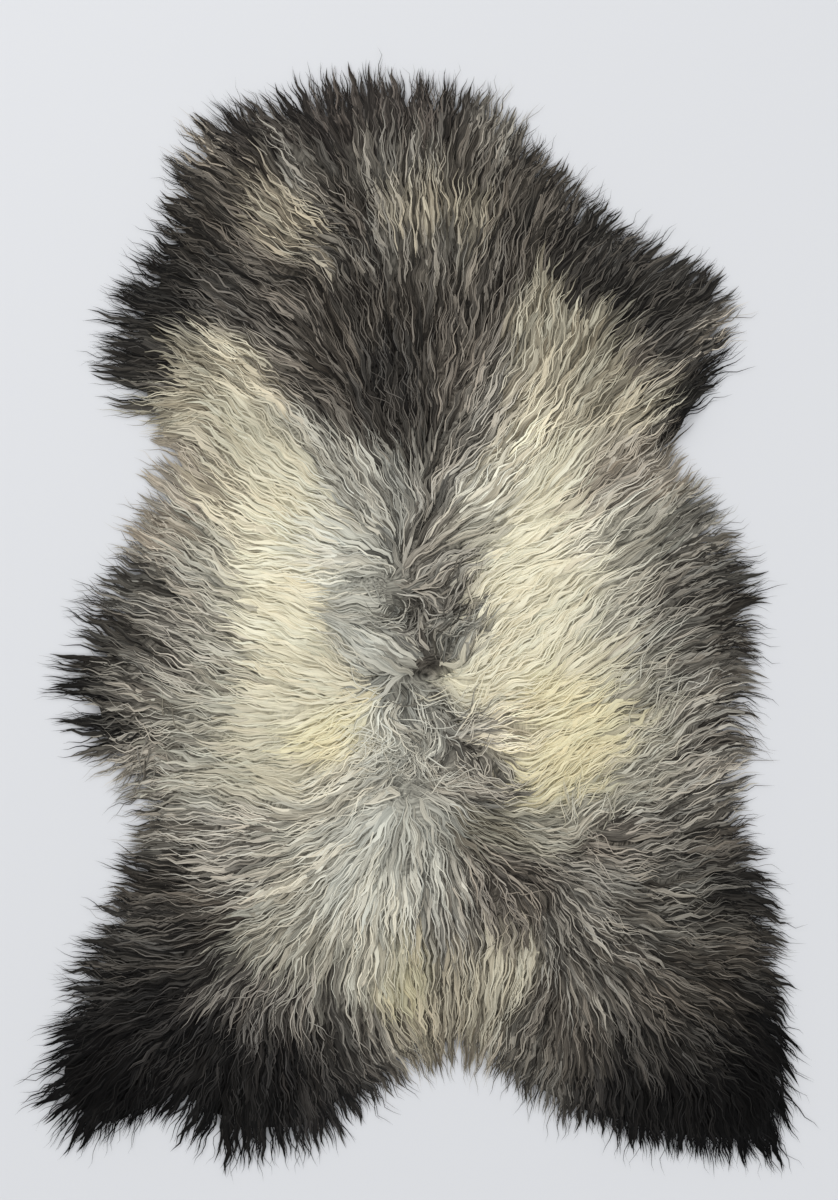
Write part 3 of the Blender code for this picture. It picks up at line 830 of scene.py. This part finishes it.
def plantRoots(tree, given, guide):
    # hairs' roots, each told its place, its lock and a few throws of dice
    position = put(tree, "GeometryNodeInputPosition")
    roots = put(tree, "GeometryNodeDistributePointsOnFaces", {
        "Mesh": given("Geometry"), "Distance Min": given("Apart"), "Density Max": given("Density"),
        "Density Factor": attribute(tree, "thickness"), "Seed": given("Seed"),
    }, distribute_method="POISSON")
    locks = put(tree, "GeometryNodeDistributePointsOnFaces", {
        "Mesh": guide, "Distance Min": given("LockSpacing"), "Density Max": hairLook["lockDensity"],
        "Seed": given("LockSeed"),
    }, distribute_method="POISSON")
    lock = put(tree, "GeometryNodeSampleNearest", {"Geometry": locks, "Sample Position": position})
    lockAt = put(tree, "GeometryNodeSampleIndex", {
        "Geometry": locks, "Value": position, "Index": lock,
    }, data_type="FLOAT_VECTOR")
    away = vectors("SUBTRACT", lockAt, position)
    comb = sampled(guide, "comb", position)
    crimp = sampled(guide, "crimp", position)
    throws = [dice(given("Seed"), throw) for throw in range(6)]
    lockThrows = [dice(given("LockSeed"), throw, ID=lock) for throw in (0, 1, 2, 5)]
    luck = throws[4] * hairLook["ownLuck"] + parts(crimp)[2] * (1.0 - hairLook["ownLuck"])
    told = roots
    for name, value in dict(
        hairRoot=position,
        hairComb=comb,
        hairCrimp=crimp,
        hairLock=joined(vectors("DOT_PRODUCT", away, comb), vectors("DOT_PRODUCT", away, leftOf(comb)),
                        vectors("LENGTH", away)),
        hairDice=joined(*throws[:3]),
        hairDiceMore=joined(*throws[3:]),
        lockDice=joined(*lockThrows[:3]),
    ).items():
        told = stored(told, name, value)
    told = stored(told, "hairLuck", eased(luck, *hairLook["luckRange"]), kind="FLOAT")
    told = stored(told, "lockTint", lockThrows[3], kind="FLOAT")
    return stored(told, "hairNumber", put(tree, "GeometryNodeInputIndex"), kind="INT")


def hairHeading(tree, guide, place, along):
    # near its root a hair leans as its own root does, which lets hairs cross a parting
    leant = eased(along, *hairLook["rootLean"])
    return vectors("NORMALIZE", mixed(leant, vectorOf(tree, "hairComb"), sampled(guide, "comb", place)))


def runAlongComb(tree, given, guide, roots):
    # one chain of stations for each root, its stations then walked along the comb one after another
    line = put(tree, "GeometryNodeCurvePrimitiveLine", {"Start": (0.0, 0.0, 0.0), "End": (1.0, 0.0, 0.0)})
    chain = put(tree, "GeometryNodeResampleCurve", {"Curve": line, "Count": given("Stations")})
    planted = put(tree, "GeometryNodeInstanceOnPoints", {"Points": roots, "Instance": chain})
    root = vectorOf(tree, "hairRoot")
    lengthDice, leanDice, reachDice = parts(vectorOf(tree, "hairDice"))
    back = given("Backset") * (leanDice * hairLook["backset"][0] + hairLook["backset"][1])
    behind = vectors("SCALE", vectorOf(tree, "hairComb"), back)
    gathered = put(tree, "GeometryNodeSetPosition", {
        "Geometry": put(tree, "GeometryNodeRealizeInstances", {"Geometry": planted}),
        "Position": vectors("ADD", root, behind),
    })
    room = parts(sampled(guide, "form", root))[2]
    wanted = given("Length") * (given("LengthSpread") * (lengthDice - 0.5) + 1.0)
    nearRim = eased(room, *hairLook["rimRoom"]) * -hairLook["rimExtra"] + (1.0 + hairLook["rimExtra"])
    ahead = room - (back + hairLook["rimClear"])
    reach = reachDice * given("Overreach") + ahead
    length = maths("SMOOTH_MIN", wanted * nearRim, reach, hairLook["lengthBlend"])
    measured = stored(gathered, "hairLength", maths("MAXIMUM", length, hairLook["shortest"]), kind="FLOAT")

    again = put(tree, "GeometryNodeRepeatInput", {"Iterations": given("Stations") - 1.0})
    until = put(tree, "GeometryNodeRepeatOutput")
    again.node.pair_with_output(until.node)
    fill(again.node, {"Geometry": measured})
    position = put(tree, "GeometryNodeInputPosition")
    along, station = alongHair(tree, given)
    later = put(tree, "FunctionNodeCompare", {0: station, 1: again.of("Iteration")},
                data_type="INT", operation="GREATER_THAN")
    step = attribute(tree, "hairLength") / (given("Stations") - 1.0)
    curl = parts(sampled(guide, "form", position))[1]
    lean = (leanDice - 0.5) * hairLook["ownStray"] + (parts(vectorOf(tree, "lockDice"))[2] - 0.5)
    turned = put(tree, "ShaderNodeVectorRotate", {
        "Vector": hairHeading(tree, guide, position, along), "Axis": (0.0, 0.0, 1.0),
        "Angle": lean * given("Stray") * (curl * hairLook["wildCurl"] + 1.0),
    }, rotation_type="AXIS_ANGLE")
    moved = put(tree, "GeometryNodeSetPosition", {
        "Geometry": again.of("Geometry"), "Selection": later, "Offset": vectors("SCALE", turned, step),
    })
    fill(until.node, {"Geometry": moved})
    return until.of("Geometry")


def shapeLocks(tree, given, guide, chains):
    # lifts the flat chains onto the crown, waves them and draws them in to their locks
    position = put(tree, "GeometryNodeInputPosition")
    along, _ = alongHair(tree, given)
    comb = hairHeading(tree, guide, position, along)
    crown, curl, _ = parts(sampled(guide, "form", position))
    ahead, across, gap = parts(vectorOf(tree, "hairLock"))
    phaseDice, waveDice, liftDice = parts(vectorOf(tree, "hairDiceMore"))
    lockWave, lockPhase, _ = parts(vectorOf(tree, "lockDice"))

    pull = given("Gather") * eased(along, *hairLook["drawnIn"])
    run = along * attribute(tree, "hairLength") + parts(vectorOf(tree, "hairCrimp"))[0]
    phase = phaseDice * hairLook["phaseSpread"] + lockPhase * given("LockPhase")
    turn = (run / given("WaveLength") + phase) * math.tau
    least, byLock, byHair = hairLook["waveTall"]
    tall = given("WaveHeight") * (curl * hairLook["curlTall"] + 1.0)
    tall = tall * (waveDice * byHair + (lockWave * byLock + least)) * eased(along, *hairLook["waveGrows"])
    sideways = maths("SINE", turn) * tall + across * pull

    rooted = (1.0 - along) ** hairLook["rootPower"] * given("Rooting")
    ratio = maths("MINIMUM", gap / (given("LockSpacing") * hairLook["lockRadius"]), hairLook["domeEnd"])
    dome = given("Dome") * (hairLook["domeTop"] - ratio * ratio)
    lockLift = given("LockRise") * (attribute(tree, "hairLuck") - 0.5)
    hairLift = given("Loft") * (liftDice - 0.5)
    bob = maths("COSINE", turn) * (tall * hairLook["waveTilt"])
    swell = given("Rise") * eased(along, *hairLook["swells"])
    standing = (dome + lockLift) + (hairLift + bob) + swell
    height = crown + eased(crown, *hairLook["thinCrown"]) * (standing - rooted)
    lowest, higher = hairLook["lowest"]
    height = maths("MAXIMUM", height, liftDice * higher + lowest)

    shift = vectors("ADD", vectors("SCALE", leftOf(comb), sideways), vectors("SCALE", comb, ahead * pull))
    shift = vectors("ADD", shift, joined(0.0, 0.0, height))
    return put(tree, "GeometryNodeSetPosition", {"Geometry": chains, "Offset": shift})


def paintHairs(tree, given, guide, chains):
    # a hair has the colour of the place where its outer half lies, darker at its root: partly its own paler
    # tips and partly painted shade deep in the fleece
    along, station = alongHair(tree, given)
    tintDice = parts(vectorOf(tree, "hairDiceMore"))[2]
    least, byDice = hairLook["colourAt"]
    middle = maths("FLOOR", given("Stations") * (tintDice * byDice + least))
    place = put(tree, "GeometryNodeFieldAtIndex", {
        "Index": put(tree, "GeometryNodeInputIndex") - station + middle,
        "Value": put(tree, "GeometryNodeInputPosition"),
    }, data_type="FLOAT_VECTOR", domain="POINT")
    light = sampled(guide, "light", place)
    bright = eased(vectors("DOT_PRODUCT", light, brightness), *hairLook["brightRange"])
    inDark, inLight = hairLook["contrast"]
    luck = attribute(tree, "hairLuck") ** (bright * inLight + inDark)
    tone = luck * (given("ToneHigh") - given("ToneLow")) + given("ToneLow")
    # darker toward the root: painted shade deep in the fleece, with the tips' own paler wool
    outer = eased(along, *hairLook["rootDark"]) * (1.0 - given("RootShade")) + given("RootShade")
    colour = mixed(tone * outer, sampled(guide, "deep", place), light)
    warmth = (tintDice + attribute(tree, "lockTint") - 1.0) * hairLook["warmth"]
    tint = joined(warmth + 1.0, 1.0, 1.0 - warmth)
    return stored(chains, "wool", vectors("MULTIPLY", colour, tint), kind="FLOAT_COLOR")


def inCell(number, share, margin, count):
    return (number + (share * (1.0 - 2.0 * margin) + margin)) / count


def skinHairs(tree, given, chains, count):
    # the chains become tubes, with a place on the wool's atlas for each hair
    along, _ = alongHair(tree, given)
    widthDice = parts(vectorOf(tree, "hairDice"))[0]
    taper = maths("MINIMUM", along * hairLook["rootTaper"], 1.0) * (1.0 - along ** given("Taper"))
    thin = attribute(tree, "hairLuck") * hairLook["thinByLuck"] + hairLook["thickest"]
    half = given("Width") * (widthDice * hairLook["thickByDice"] + thin)
    marked = stored(chains, "hairAlong", along, kind="FLOAT")
    upright = put(tree, "GeometryNodeSetCurveNormal", {"Curve": marked}, mode="Z_UP")
    arc = put(tree, "GeometryNodeCurveArc", {
        "Resolution": 4, "Radius": 1.0, "Start Angle": math.radians(30.0), "Sweep Angle": math.tau,
    })
    pressed = put(tree, "GeometryNodeTransform", {
        "Geometry": arc, "Scale": joined(1.0, given("Flatness"), 1.0),
    })
    ring = stored(pressed, "hairAround", put(tree, "GeometryNodeSplineParameter").of("Factor"), kind="FLOAT")
    tube = put(tree, "GeometryNodeCurveToMesh", {
        "Curve": upright, "Profile Curve": ring, "Scale": half * taper,
    })

    hairAlong = attribute(tree, "hairAlong")
    hairAround = attribute(tree, "hairAround")
    run = hairAlong * attribute(tree, "hairLength")
    lay = joined(hairAround, run, parts(vectorOf(tree, "hairDiceMore"))[0])
    mesh = stored(tube, "lay", lay, domain="CORNER")
    columns = maths("CEIL", maths("SQRT", count * hairLook["cellsWide"]))
    rows = maths("CEIL", count / columns)
    number = attribute(tree, "hairNumber")
    column = maths("MODULO", number, columns)
    row = maths("FLOOR", number / columns)
    u = inCell(column, hairAround, hairLook["sideMargin"], columns)
    v = inCell(row, hairAlong, hairLook["endMargin"], rows)
    mesh = stored(mesh, "OFBake", joined(u, v, 0.0), kind="FLOAT2", domain="CORNER")
    closed = put(tree, "GeometryNodeMergeByDistance", {"Geometry": mesh, "Distance": 1e-6})
    smooth = put(tree, "GeometryNodeSetShadeSmooth", {"Geometry": closed})
    sharp = put(tree, "FunctionNodeCompare", {
        0: put(tree, "GeometryNodeInputMeshEdgeAngle"), 1: math.radians(hairLook["creaseAngle"]),
    }, operation="GREATER_THAN")
    return put(tree, "GeometryNodeSetShadeSmooth", {
        "Geometry": smooth, "Selection": sharp, "Shade Smooth": False,
    }, domain="EDGE")


def growWoolTree():
    tree = newGroup("growWool", "GeometryNodeTree", woolSockets, {"Geometry": "NodeSocketGeometry"})
    given = put(tree, "NodeGroupInput").of
    guide = put(tree, "GeometryNodeObjectInfo", {"Object": given("Guide")}).of("Geometry")
    roots = plantRoots(tree, given, guide)
    count = put(tree, "GeometryNodeAttributeDomainSize", {"Geometry": roots}, component="POINTCLOUD")
    chains = runAlongComb(tree, given, guide, roots)
    painted = paintHairs(tree, given, guide, chains)
    mesh = skinHairs(tree, given, shapeLocks(tree, given, guide, painted), count)
    for label, mode in (("hair*", "WILDCARD"), ("lock*", "WILDCARD"), ("thickness", "EXACT")):
        mesh = put(tree, "GeometryNodeRemoveAttribute", {"Geometry": mesh, "Name": label}, pattern_mode=mode)
    real = put(tree, "GeometryNodeRealizeInstances", {"Geometry": mesh})
    finished = put(tree, "GeometryNodeSetMaterial", {"Geometry": real, "Material": given("Material")})
    put(tree, "NodeGroupOutput", {"Geometry": finished})
    return tree


def grow(name, tree, area, guide, material, look):
    piece = placed(name, area)
    modifier = piece.modifiers.new("growWool", "NODES")
    modifier.node_group = tree
    values = dict(look, Guide=guide, Material=material)
    for item in tree.interface.items_tree:
        if item.in_out == "INPUT" and item.name in values:
            modifier[item.identifier] = values[item.name]
    bpy.context.view_layer.update()
    depsgraph = bpy.context.evaluated_depsgraph_get()
    grown = bpy.data.meshes.new_from_object(
        piece.evaluated_get(depsgraph), preserve_all_data_layers=True, depsgraph=depsgraph)
    piece.modifiers.remove(modifier)
    piece.data = grown
    grown.name = name
    bpy.data.meshes.remove(area)
    triangles = sum(len(face.vertices) - 2 for face in grown.polygons)
    print(f"{name}: {triangles} triangles")
    return piece


# Materials

woolFinishes = dict(
    stapleWool=dict(Fibres=13.0, Run=0.030, Contrast=3.4, Relief=0.8, roughness=0.65, gloss=0.04),
    waveWool=dict(Fibres=6.5, Run=0.030, Contrast=3.2, Relief=0.8, roughness=0.60, gloss=0.06),
    looseHair=dict(Fibres=1.5, Run=0.020, Contrast=0.6, Relief=0.2, roughness=0.55, gloss=0.08),
    feltedWool=dict(Fibres=0.8, Run=0.004, Contrast=4.0, Relief=1.0, roughness=0.80, gloss=0.03),
)

fibreLook = dict(
    shift=91.0,                 # between one hair's pattern and the next hair's
    brightRange=(0.06, 0.60),
    contrast=(1.40, -1.15),     # of the streaks in dark wool, and less in light
    darkest=0.25,
    lightest=(0.94, 0.94, 0.94),
    ridge=0.0004,
)


def fibreGroup():
    # fine hairs within each lock: lighter and darker streaks along it, and the ridges they make
    tree = newGroup("fibres", "ShaderNodeTree", dict(
        Colour="NodeSocketColor", Lay="NodeSocketVector",
        **{name: "NodeSocketFloat" for name in ("Fibres", "Run", "Contrast", "Relief")},
    ), dict(Colour="NodeSocketColor", Normal="NodeSocketVector"))
    given = put(tree, "NodeGroupInput").of
    around, run, hairDice = parts(given("Lay"))
    place = joined(around * given("Fibres"), run / given("Run"), hairDice * fibreLook["shift"])
    streak = put(tree, "ShaderNodeTexNoise", {"Vector": place, "Scale": 1.0, "Detail": 4.0, "Roughness": 0.6})
    bright = eased(vectors("DOT_PRODUCT", given("Colour"), brightness), *fibreLook["brightRange"])
    inDark, inLight = fibreLook["contrast"]
    lift = (streak - 0.5) * (given("Contrast") * (bright * inLight + inDark)) + 1.0
    colour = vectors("SCALE", given("Colour"), maths("MAXIMUM", lift, fibreLook["darkest"]))
    put(tree, "NodeGroupOutput", {
        "Colour": vectors("MINIMUM", colour, fibreLook["lightest"]),
        "Normal": put(tree, "ShaderNodeBump", {
            "Strength": given("Relief"), "Distance": fibreLook["ridge"], "Height": streak,
        }),
    })
    return tree


def woolMaterial(name, fibres):
    look = woolFinishes[name]
    material, tree, shader = newMaterial(name)
    streaks = put(tree, "ShaderNodeGroup", {
        "Colour": put(tree, "ShaderNodeAttribute", attribute_name="wool").of("Color"),
        "Lay": put(tree, "ShaderNodeAttribute", attribute_name="lay").of("Vector"),
        **{label: look[label] for label in ("Fibres", "Run", "Contrast", "Relief")},
    }, node_tree=fibres)
    fill(shader, {
        "Base Color": streaks.of("Colour"), "Normal": streaks.of("Normal"), "Roughness": look["roughness"],
        "Specular IOR Level": look["gloss"], "Sheen Weight": 0.01, "Sheen Roughness": 0.5,
    })
    return material


suedeLook = dict(
    clouds=14.0,        # a metre
    nap=900.0,
    dark=(186, 163, 130),
    pale=(222, 204, 174),
    darkUpTo=0.3,       # of the mixed noise, and pale from the next
    paleFrom=0.7,
    napRelief=0.0004,
)


def suedeMaterial():
    # the flesh side: pale, matt and faintly clouded, with a short nap
    material, tree, shader = newMaterial("suede")
    place = put(tree, "ShaderNodeTexCoord").of("Object")
    cloud = put(tree, "ShaderNodeTexNoise", {"Vector": place, "Scale": suedeLook["clouds"], "Detail": 4.0})
    nap = put(tree, "ShaderNodeTexNoise", {"Vector": place, "Scale": suedeLook["nap"], "Detail": 3.0})
    ramp = put(tree, "ShaderNodeValToRGB", {0: nap * 0.25 + cloud * 0.75})
    dark, pale = ramp.node.color_ramp.elements
    dark.position = suedeLook["darkUpTo"]
    dark.color = (*linear(suedeLook["dark"]), 1.0)
    pale.position = suedeLook["paleFrom"]
    pale.color = (*linear(suedeLook["pale"]), 1.0)
    bump = put(tree, "ShaderNodeBump", {"Strength": 0.35, "Distance": suedeLook["napRelief"], "Height": nap})
    fill(shader, {"Base Color": ramp, "Normal": bump, "Roughness": 0.9, "Sheen Weight": 0.25})
    return material


# The tanned skin

def makeSkin(loop, material):
    bm = bmesh.new()
    floor = bm.faces.new([bm.verts.new((*place, 0.0)) for place in loop])
    raised = bmesh.ops.extrude_face_region(bm, geom=[floor])
    top = [item for item in raised["geom"] if isinstance(item, bmesh.types.BMVert)]
    bmesh.ops.translate(bm, verts=top, vec=(0.0, 0.0, skinLook["thickness"]))
    bmesh.ops.recalc_face_normals(bm, faces=bm.faces)
    rims = [edge for edge in bm.edges if abs(edge.verts[0].co.z - edge.verts[1].co.z) < 1e-6]
    bmesh.ops.bevel(bm, geom=rims, offset=skinLook["edgeRound"], segments=2, profile=0.5, affect="EDGES")
    return finishShell(bm, bpy.data.meshes.new("tannedSkin"), material)


def finishShell(bm, mesh, material):
    bmesh.ops.triangulate(bm, faces=[face for face in bm.faces if len(face.verts) > 4])
    bmesh.ops.recalc_face_normals(bm, faces=bm.faces)
    bm.to_mesh(mesh)
    bm.free()
    mesh.materials.append(material)
    return placed(mesh.name, mesh)


# The underwool: the felted mass that the locks stand in

underLook = dict(
    sunk=0.0038,       # below the crown
    rim=0.013,         # past the skin's cut edge
    rimHeight=0.004,
    floorGap=0.0004,
    overSkin=0.0024,   # its underside, where it lies on the skin
    skinGap=0.0015,
    lumps=0.0015,
    lumpSize=16,       # mm
    deepShare=0.7,     # of its colour
    # painted shade: the underwool's colour is dimmed below the wool over it, as shade deep among the locks
    paintedShadeDim=0.90,          # how much darker than the wool over it
    step=2,            # of the field's grid
)


def coarser(field, inside, step):
    rows, columns = field["shape"]
    kept = np.zeros((rows, columns), dtype=bool)
    kept[::step, ::step] = True
    shape = (len(range(0, rows, step)), len(range(0, columns, step)))
    names = ("places", "form", "crimp", "deep", "light")
    return dict({name: field[name][kept.ravel()] for name in names}, shape=shape), inside[kept.ravel()]


def offsetFromLoop(place, loop, distance):
    # the loop's point nearest to the place, moved straight out of the loop
    place = np.array(place)
    runs = np.roll(loop, -1, axis=0) - loop
    share = np.clip(((place - loop) * runs).sum(1) / (runs * runs).sum(1), 0.0, 1.0)
    points = loop + share[:, None] * runs
    best = np.argmin(((points - place) ** 2).sum(1))
    outward = np.array((runs[best][1], -runs[best][0]))
    return Vector(points[best] + outward / np.linalg.norm(outward) * distance)


def makeUnderwool(field, inside, loop, material):
    field, inside = coarser(field, inside, underLook["step"])
    solid = (inside > -underLook["rim"]).reshape(field["shape"])
    chosen = np.zeros(field["shape"], dtype=bool)
    chosen[:-1, :-1] = solid[:-1, :-1] & solid[1:, :-1] & solid[:-1, 1:] & solid[1:, 1:]
    lump = softNoise(field["places"] / mm, underLook["lumpSize"], layer=51.0)
    top = field["form"][:, 0] - underLook["sunk"] + underLook["lumps"] * lump
    top = np.maximum(top, underLook["rimHeight"])
    share = underLook["deepShare"]
    # the underwool's colour, dimmed by painted shade
    wool = (field["deep"] * share + field["light"] * (1.0 - share)) * underLook["paintedShadeDim"]
    lay = np.stack([field["crimp"][:, 1] / mm, field["crimp"][:, 0], top * 0.0], axis=1)
    mesh = gridMesh("underwool", field, chosen.ravel(), dict(wool=wool, lay=lay), top)
    bm = bmesh.new()
    bm.from_mesh(mesh)
    edge = [side for side in bm.edges if side.is_boundary]
    for corner in {corner for side in edge for corner in side.verts}:
        corner.co.xy = offsetFromLoop(corner.co.xy, loop, underLook["rim"])
    floorGap = underLook["floorGap"]
    for inward, height in ((False, floorGap), (True, floorGap), (False, underLook["overSkin"])):
        made = bmesh.ops.extrude_edge_only(bm, edges=edge)["geom"]
        edge = [item for item in made if isinstance(item, bmesh.types.BMEdge)]
        for corner in {corner for side in edge for corner in side.verts}:
            if inward:
                corner.co.xy = offsetFromLoop(corner.co.xy, loop, underLook["skinGap"])
            corner.co.z = height
    bmesh.ops.contextual_create(bm, geom=edge)
    piece = finishShell(bm, mesh, material)
    mesh.shade_smooth()
    return piece


# The wool's pieces. Bands of the pelt keep each piece within its share of triangles.

lockLook = dict(LockSeed=11, LockSpacing=0.0140, WaveLength=0.030, LockPhase=0.65)

# broad locks that lie under the rest, then the narrower locks on top of them, then single hairs
stapleLook = dict(
    lockLook, Stations=8, Apart=0.0034, Density=11500.0, Length=0.056, LengthSpread=0.4, Overreach=0.020,
    Width=0.0096, Flatness=0.14, Taper=1.7, Gather=0.25, Dome=0.0010, LockRise=0.0010, WaveHeight=0.0016,
    Stray=0.18, Rooting=0.0065, Rise=0.0006, Loft=0.0008, ToneLow=0.20, ToneHigh=0.90, RootShade=0.90,
    Backset=0.009,
)
waveLook = dict(
    lockLook, Stations=13, Apart=0.0018, Density=31000.0, Length=0.060, LengthSpread=0.45, Overreach=0.020,
    Width=0.0034, Flatness=0.24, Taper=1.4, Gather=0.40, Dome=0.0010, LockRise=0.0020, WaveHeight=0.0015,
    Stray=0.20, Rooting=0.0065, Rise=0.0012, Loft=0.0008, ToneLow=0.05, ToneHigh=1.10, RootShade=0.90,
    Backset=0.008,
)
looseLook = dict(
    lockLook, Stations=14, Apart=0.0024, Density=9000.0, Length=0.060, LengthSpread=0.5, Overreach=0.026,
    Width=0.0012, Flatness=0.4, Taper=2.2, Gather=0.30, Dome=0.0012, LockRise=0.0020, WaveHeight=0.0022,
    Stray=0.34, Rooting=0.0040, Rise=0.0018, Loft=0.0010, ToneLow=0.72, ToneHigh=1.50, RootShade=0.90,
    Backset=0.008,
)
# thin hairs that stick out past the locks round the pelt's edge
fringeLook = dict(
    lockLook, Stations=9, Apart=0.0014, Density=38000.0, Length=0.052, LengthSpread=0.7, Overreach=0.036,
    Width=0.0012, Flatness=0.5, Taper=2.4, Gather=0.20, Dome=0.001, LockRise=0.0015, WaveHeight=0.0022,
    Stray=0.60, Rooting=0.004, Rise=0.0014, Loft=0.0018, ToneLow=0.10, ToneHigh=1.10, RootShade=0.85,
    Backset=0.002,
)
# curls that stand up and cross the rest where the wool is unruly
curlLook = dict(
    lockLook, Stations=14, Apart=0.0022, Density=26000.0, Length=0.052, LengthSpread=0.6, Overreach=0.010,
    Width=0.0018, Flatness=0.4, Taper=2.2, Gather=0.45, Dome=0.002, LockRise=0.003, WaveHeight=0.0030,
    Stray=1.10, Rooting=0.004, Rise=0.0042, Loft=0.0024, ToneLow=0.20, ToneHigh=1.35, RootShade=0.75,
    Backset=0.004,
)

# Each kind's look and finish, and the bands it is grown in, by their lower and upper y in mm
everywhere = dict(All=(-600, 600))
fourBands = dict(Neck=(200, 600), Shoulder=(-20, 200), Rump=(-250, -20), Hind=(-600, -250))
woolKinds = dict(
    staple=(stapleLook, "stapleWool", everywhere),
    wave=(waveLook, "waveWool", fourBands),
    loose=(looseLook, "looseHair", everywhere),
    fringe=(fringeLook, "looseHair", everywhere),
    curl=(curlLook, "waveWool", everywhere),
)

# How thick the roots stand: everywhere, and what is added near the rim, at a parting, where the wool
# curls and along the very edge
rootShares = dict(
    staple=(0.45, 0.50, 0.90, 0.00, 0.0),
    wave=(0.45, 0.50, 0.90, 0.00, 0.0),
    loose=(0.45, 0.20, 0.00, 0.40, 0.0),
    fringe=(0.00, 0.00, 0.00, 0.00, 1.0),
    curl=(-0.25, 0.00, 0.00, 1.30, 0.0),
)
rootLook = dict(rimStart=0.004, rimWidth=0.030, edgeWidth=0.024, firstSeed=21)


def rootArea(name, field, inside, band, kind):
    # the places where one piece's hairs stand, with how thick they stand there
    y = field["places"][:, 1] / mm
    rim = np.clip(1.0 - (inside - rootLook["rimStart"]) / rootLook["rimWidth"], 0.0, 1.0)
    edge = np.clip(1.0 - inside / rootLook["edgeWidth"], 0.0, 1.0)
    layers = (1.0, rim, field["parting"], field["curl"], edge)
    thickness = sum(share * layer for share, layer in zip(rootShares[kind], layers))
    wanted = (inside > 0.0) & (y >= band[0]) & (y < band[1]) & (thickness > 0.0)
    return gridMesh(name, field, wanted, dict(thickness=np.minimum(thickness, 1.0)))


# Light, floor and camera

viewLook = dict(
    eye=(-0.0003, 0.0179, 1.80),
    lens=53.4,
    floorSize=8.0,
    floorShade=(205, 206, 208),
    sky=(0.97, 0.98, 1.0, 1.0),
    skyStrength=1.0,
    lamps=dict(key=((-1.5, 1.7, 2.3), 1.5, 27.0), fill=((2.0, -0.6, 2.0), 2.2, 7.0)),  # place, size, watts
)


def makeStage():
    bpy.ops.mesh.primitive_plane_add(size=viewLook["floorSize"], location=(0.0, 0.0, 0.0))
    floor = bpy.context.object
    floor.name = "floor"
    material, _, shader = newMaterial("paleFloor")
    fill(shader, {"Base Color": (*linear(viewLook["floorShade"]), 1.0), "Roughness": 0.85})
    floor.data.materials.append(material)
    for name, (place, size, power) in viewLook["lamps"].items():
        lamp = placed(name, bpy.data.lights.new(name, "AREA"))
        lamp.data.size = size
        lamp.data.energy = power
        lamp.location = place
        lamp.rotation_euler = (-Vector(place)).to_track_quat("-Z", "Y").to_euler()
    world = bpy.data.worlds.new("paleRoom")
    world.use_nodes = True
    fill(world.node_tree.nodes["Background"], {"Color": viewLook["sky"], "Strength": viewLook["skyStrength"]})
    bpy.context.scene.world = world
    bpy.context.scene.view_settings.view_transform = "Standard"
    camera = placed("camera", bpy.data.cameras.new("camera"))
    camera.data.lens = viewLook["lens"]
    camera.location = viewLook["eye"]
    bpy.context.scene.camera = camera


def main():
    makeStage()
    print("stage and camera set")
    field = makeField()
    loop = skinLoop()
    inside = insideDistance(field["places"], loop)
    print("field combed and shaded")
    guideMesh = gridMesh("guide", field, np.ones(len(inside), dtype=bool),
                         {label: field[label] for label in ("comb", "form", "crimp", "deep", "light")})
    guide = placed("guide", guideMesh)
    bpy.context.view_layer.update()

    fibres = fibreGroup()
    finishes = {name: woolMaterial(name, fibres) for name in woolFinishes}
    skin = makeSkin(loop, suedeMaterial())
    under = makeUnderwool(field, inside, loop, finishes["feltedWool"])
    print("skin and underwool made")

    tree = growWoolTree()
    pieces = []
    for kind, (look, finish, bands) in woolKinds.items():
        for part, band in bands.items():
            name = f"{kind}Wool{part}"
            area = rootArea(name, field, inside, band, kind)
            seeded = dict(look, Seed=rootLook["firstSeed"] + len(pieces))
            pieces.append(grow(name, tree, area, guide, finishes[finish], seeded))
    bpy.data.objects.remove(guide)
    print("wool grown")

    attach(skin, "root")
    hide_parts("hide")
    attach(under, "root")
    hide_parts("fleece")
    for piece in pieces:
        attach(piece, "root")


main()
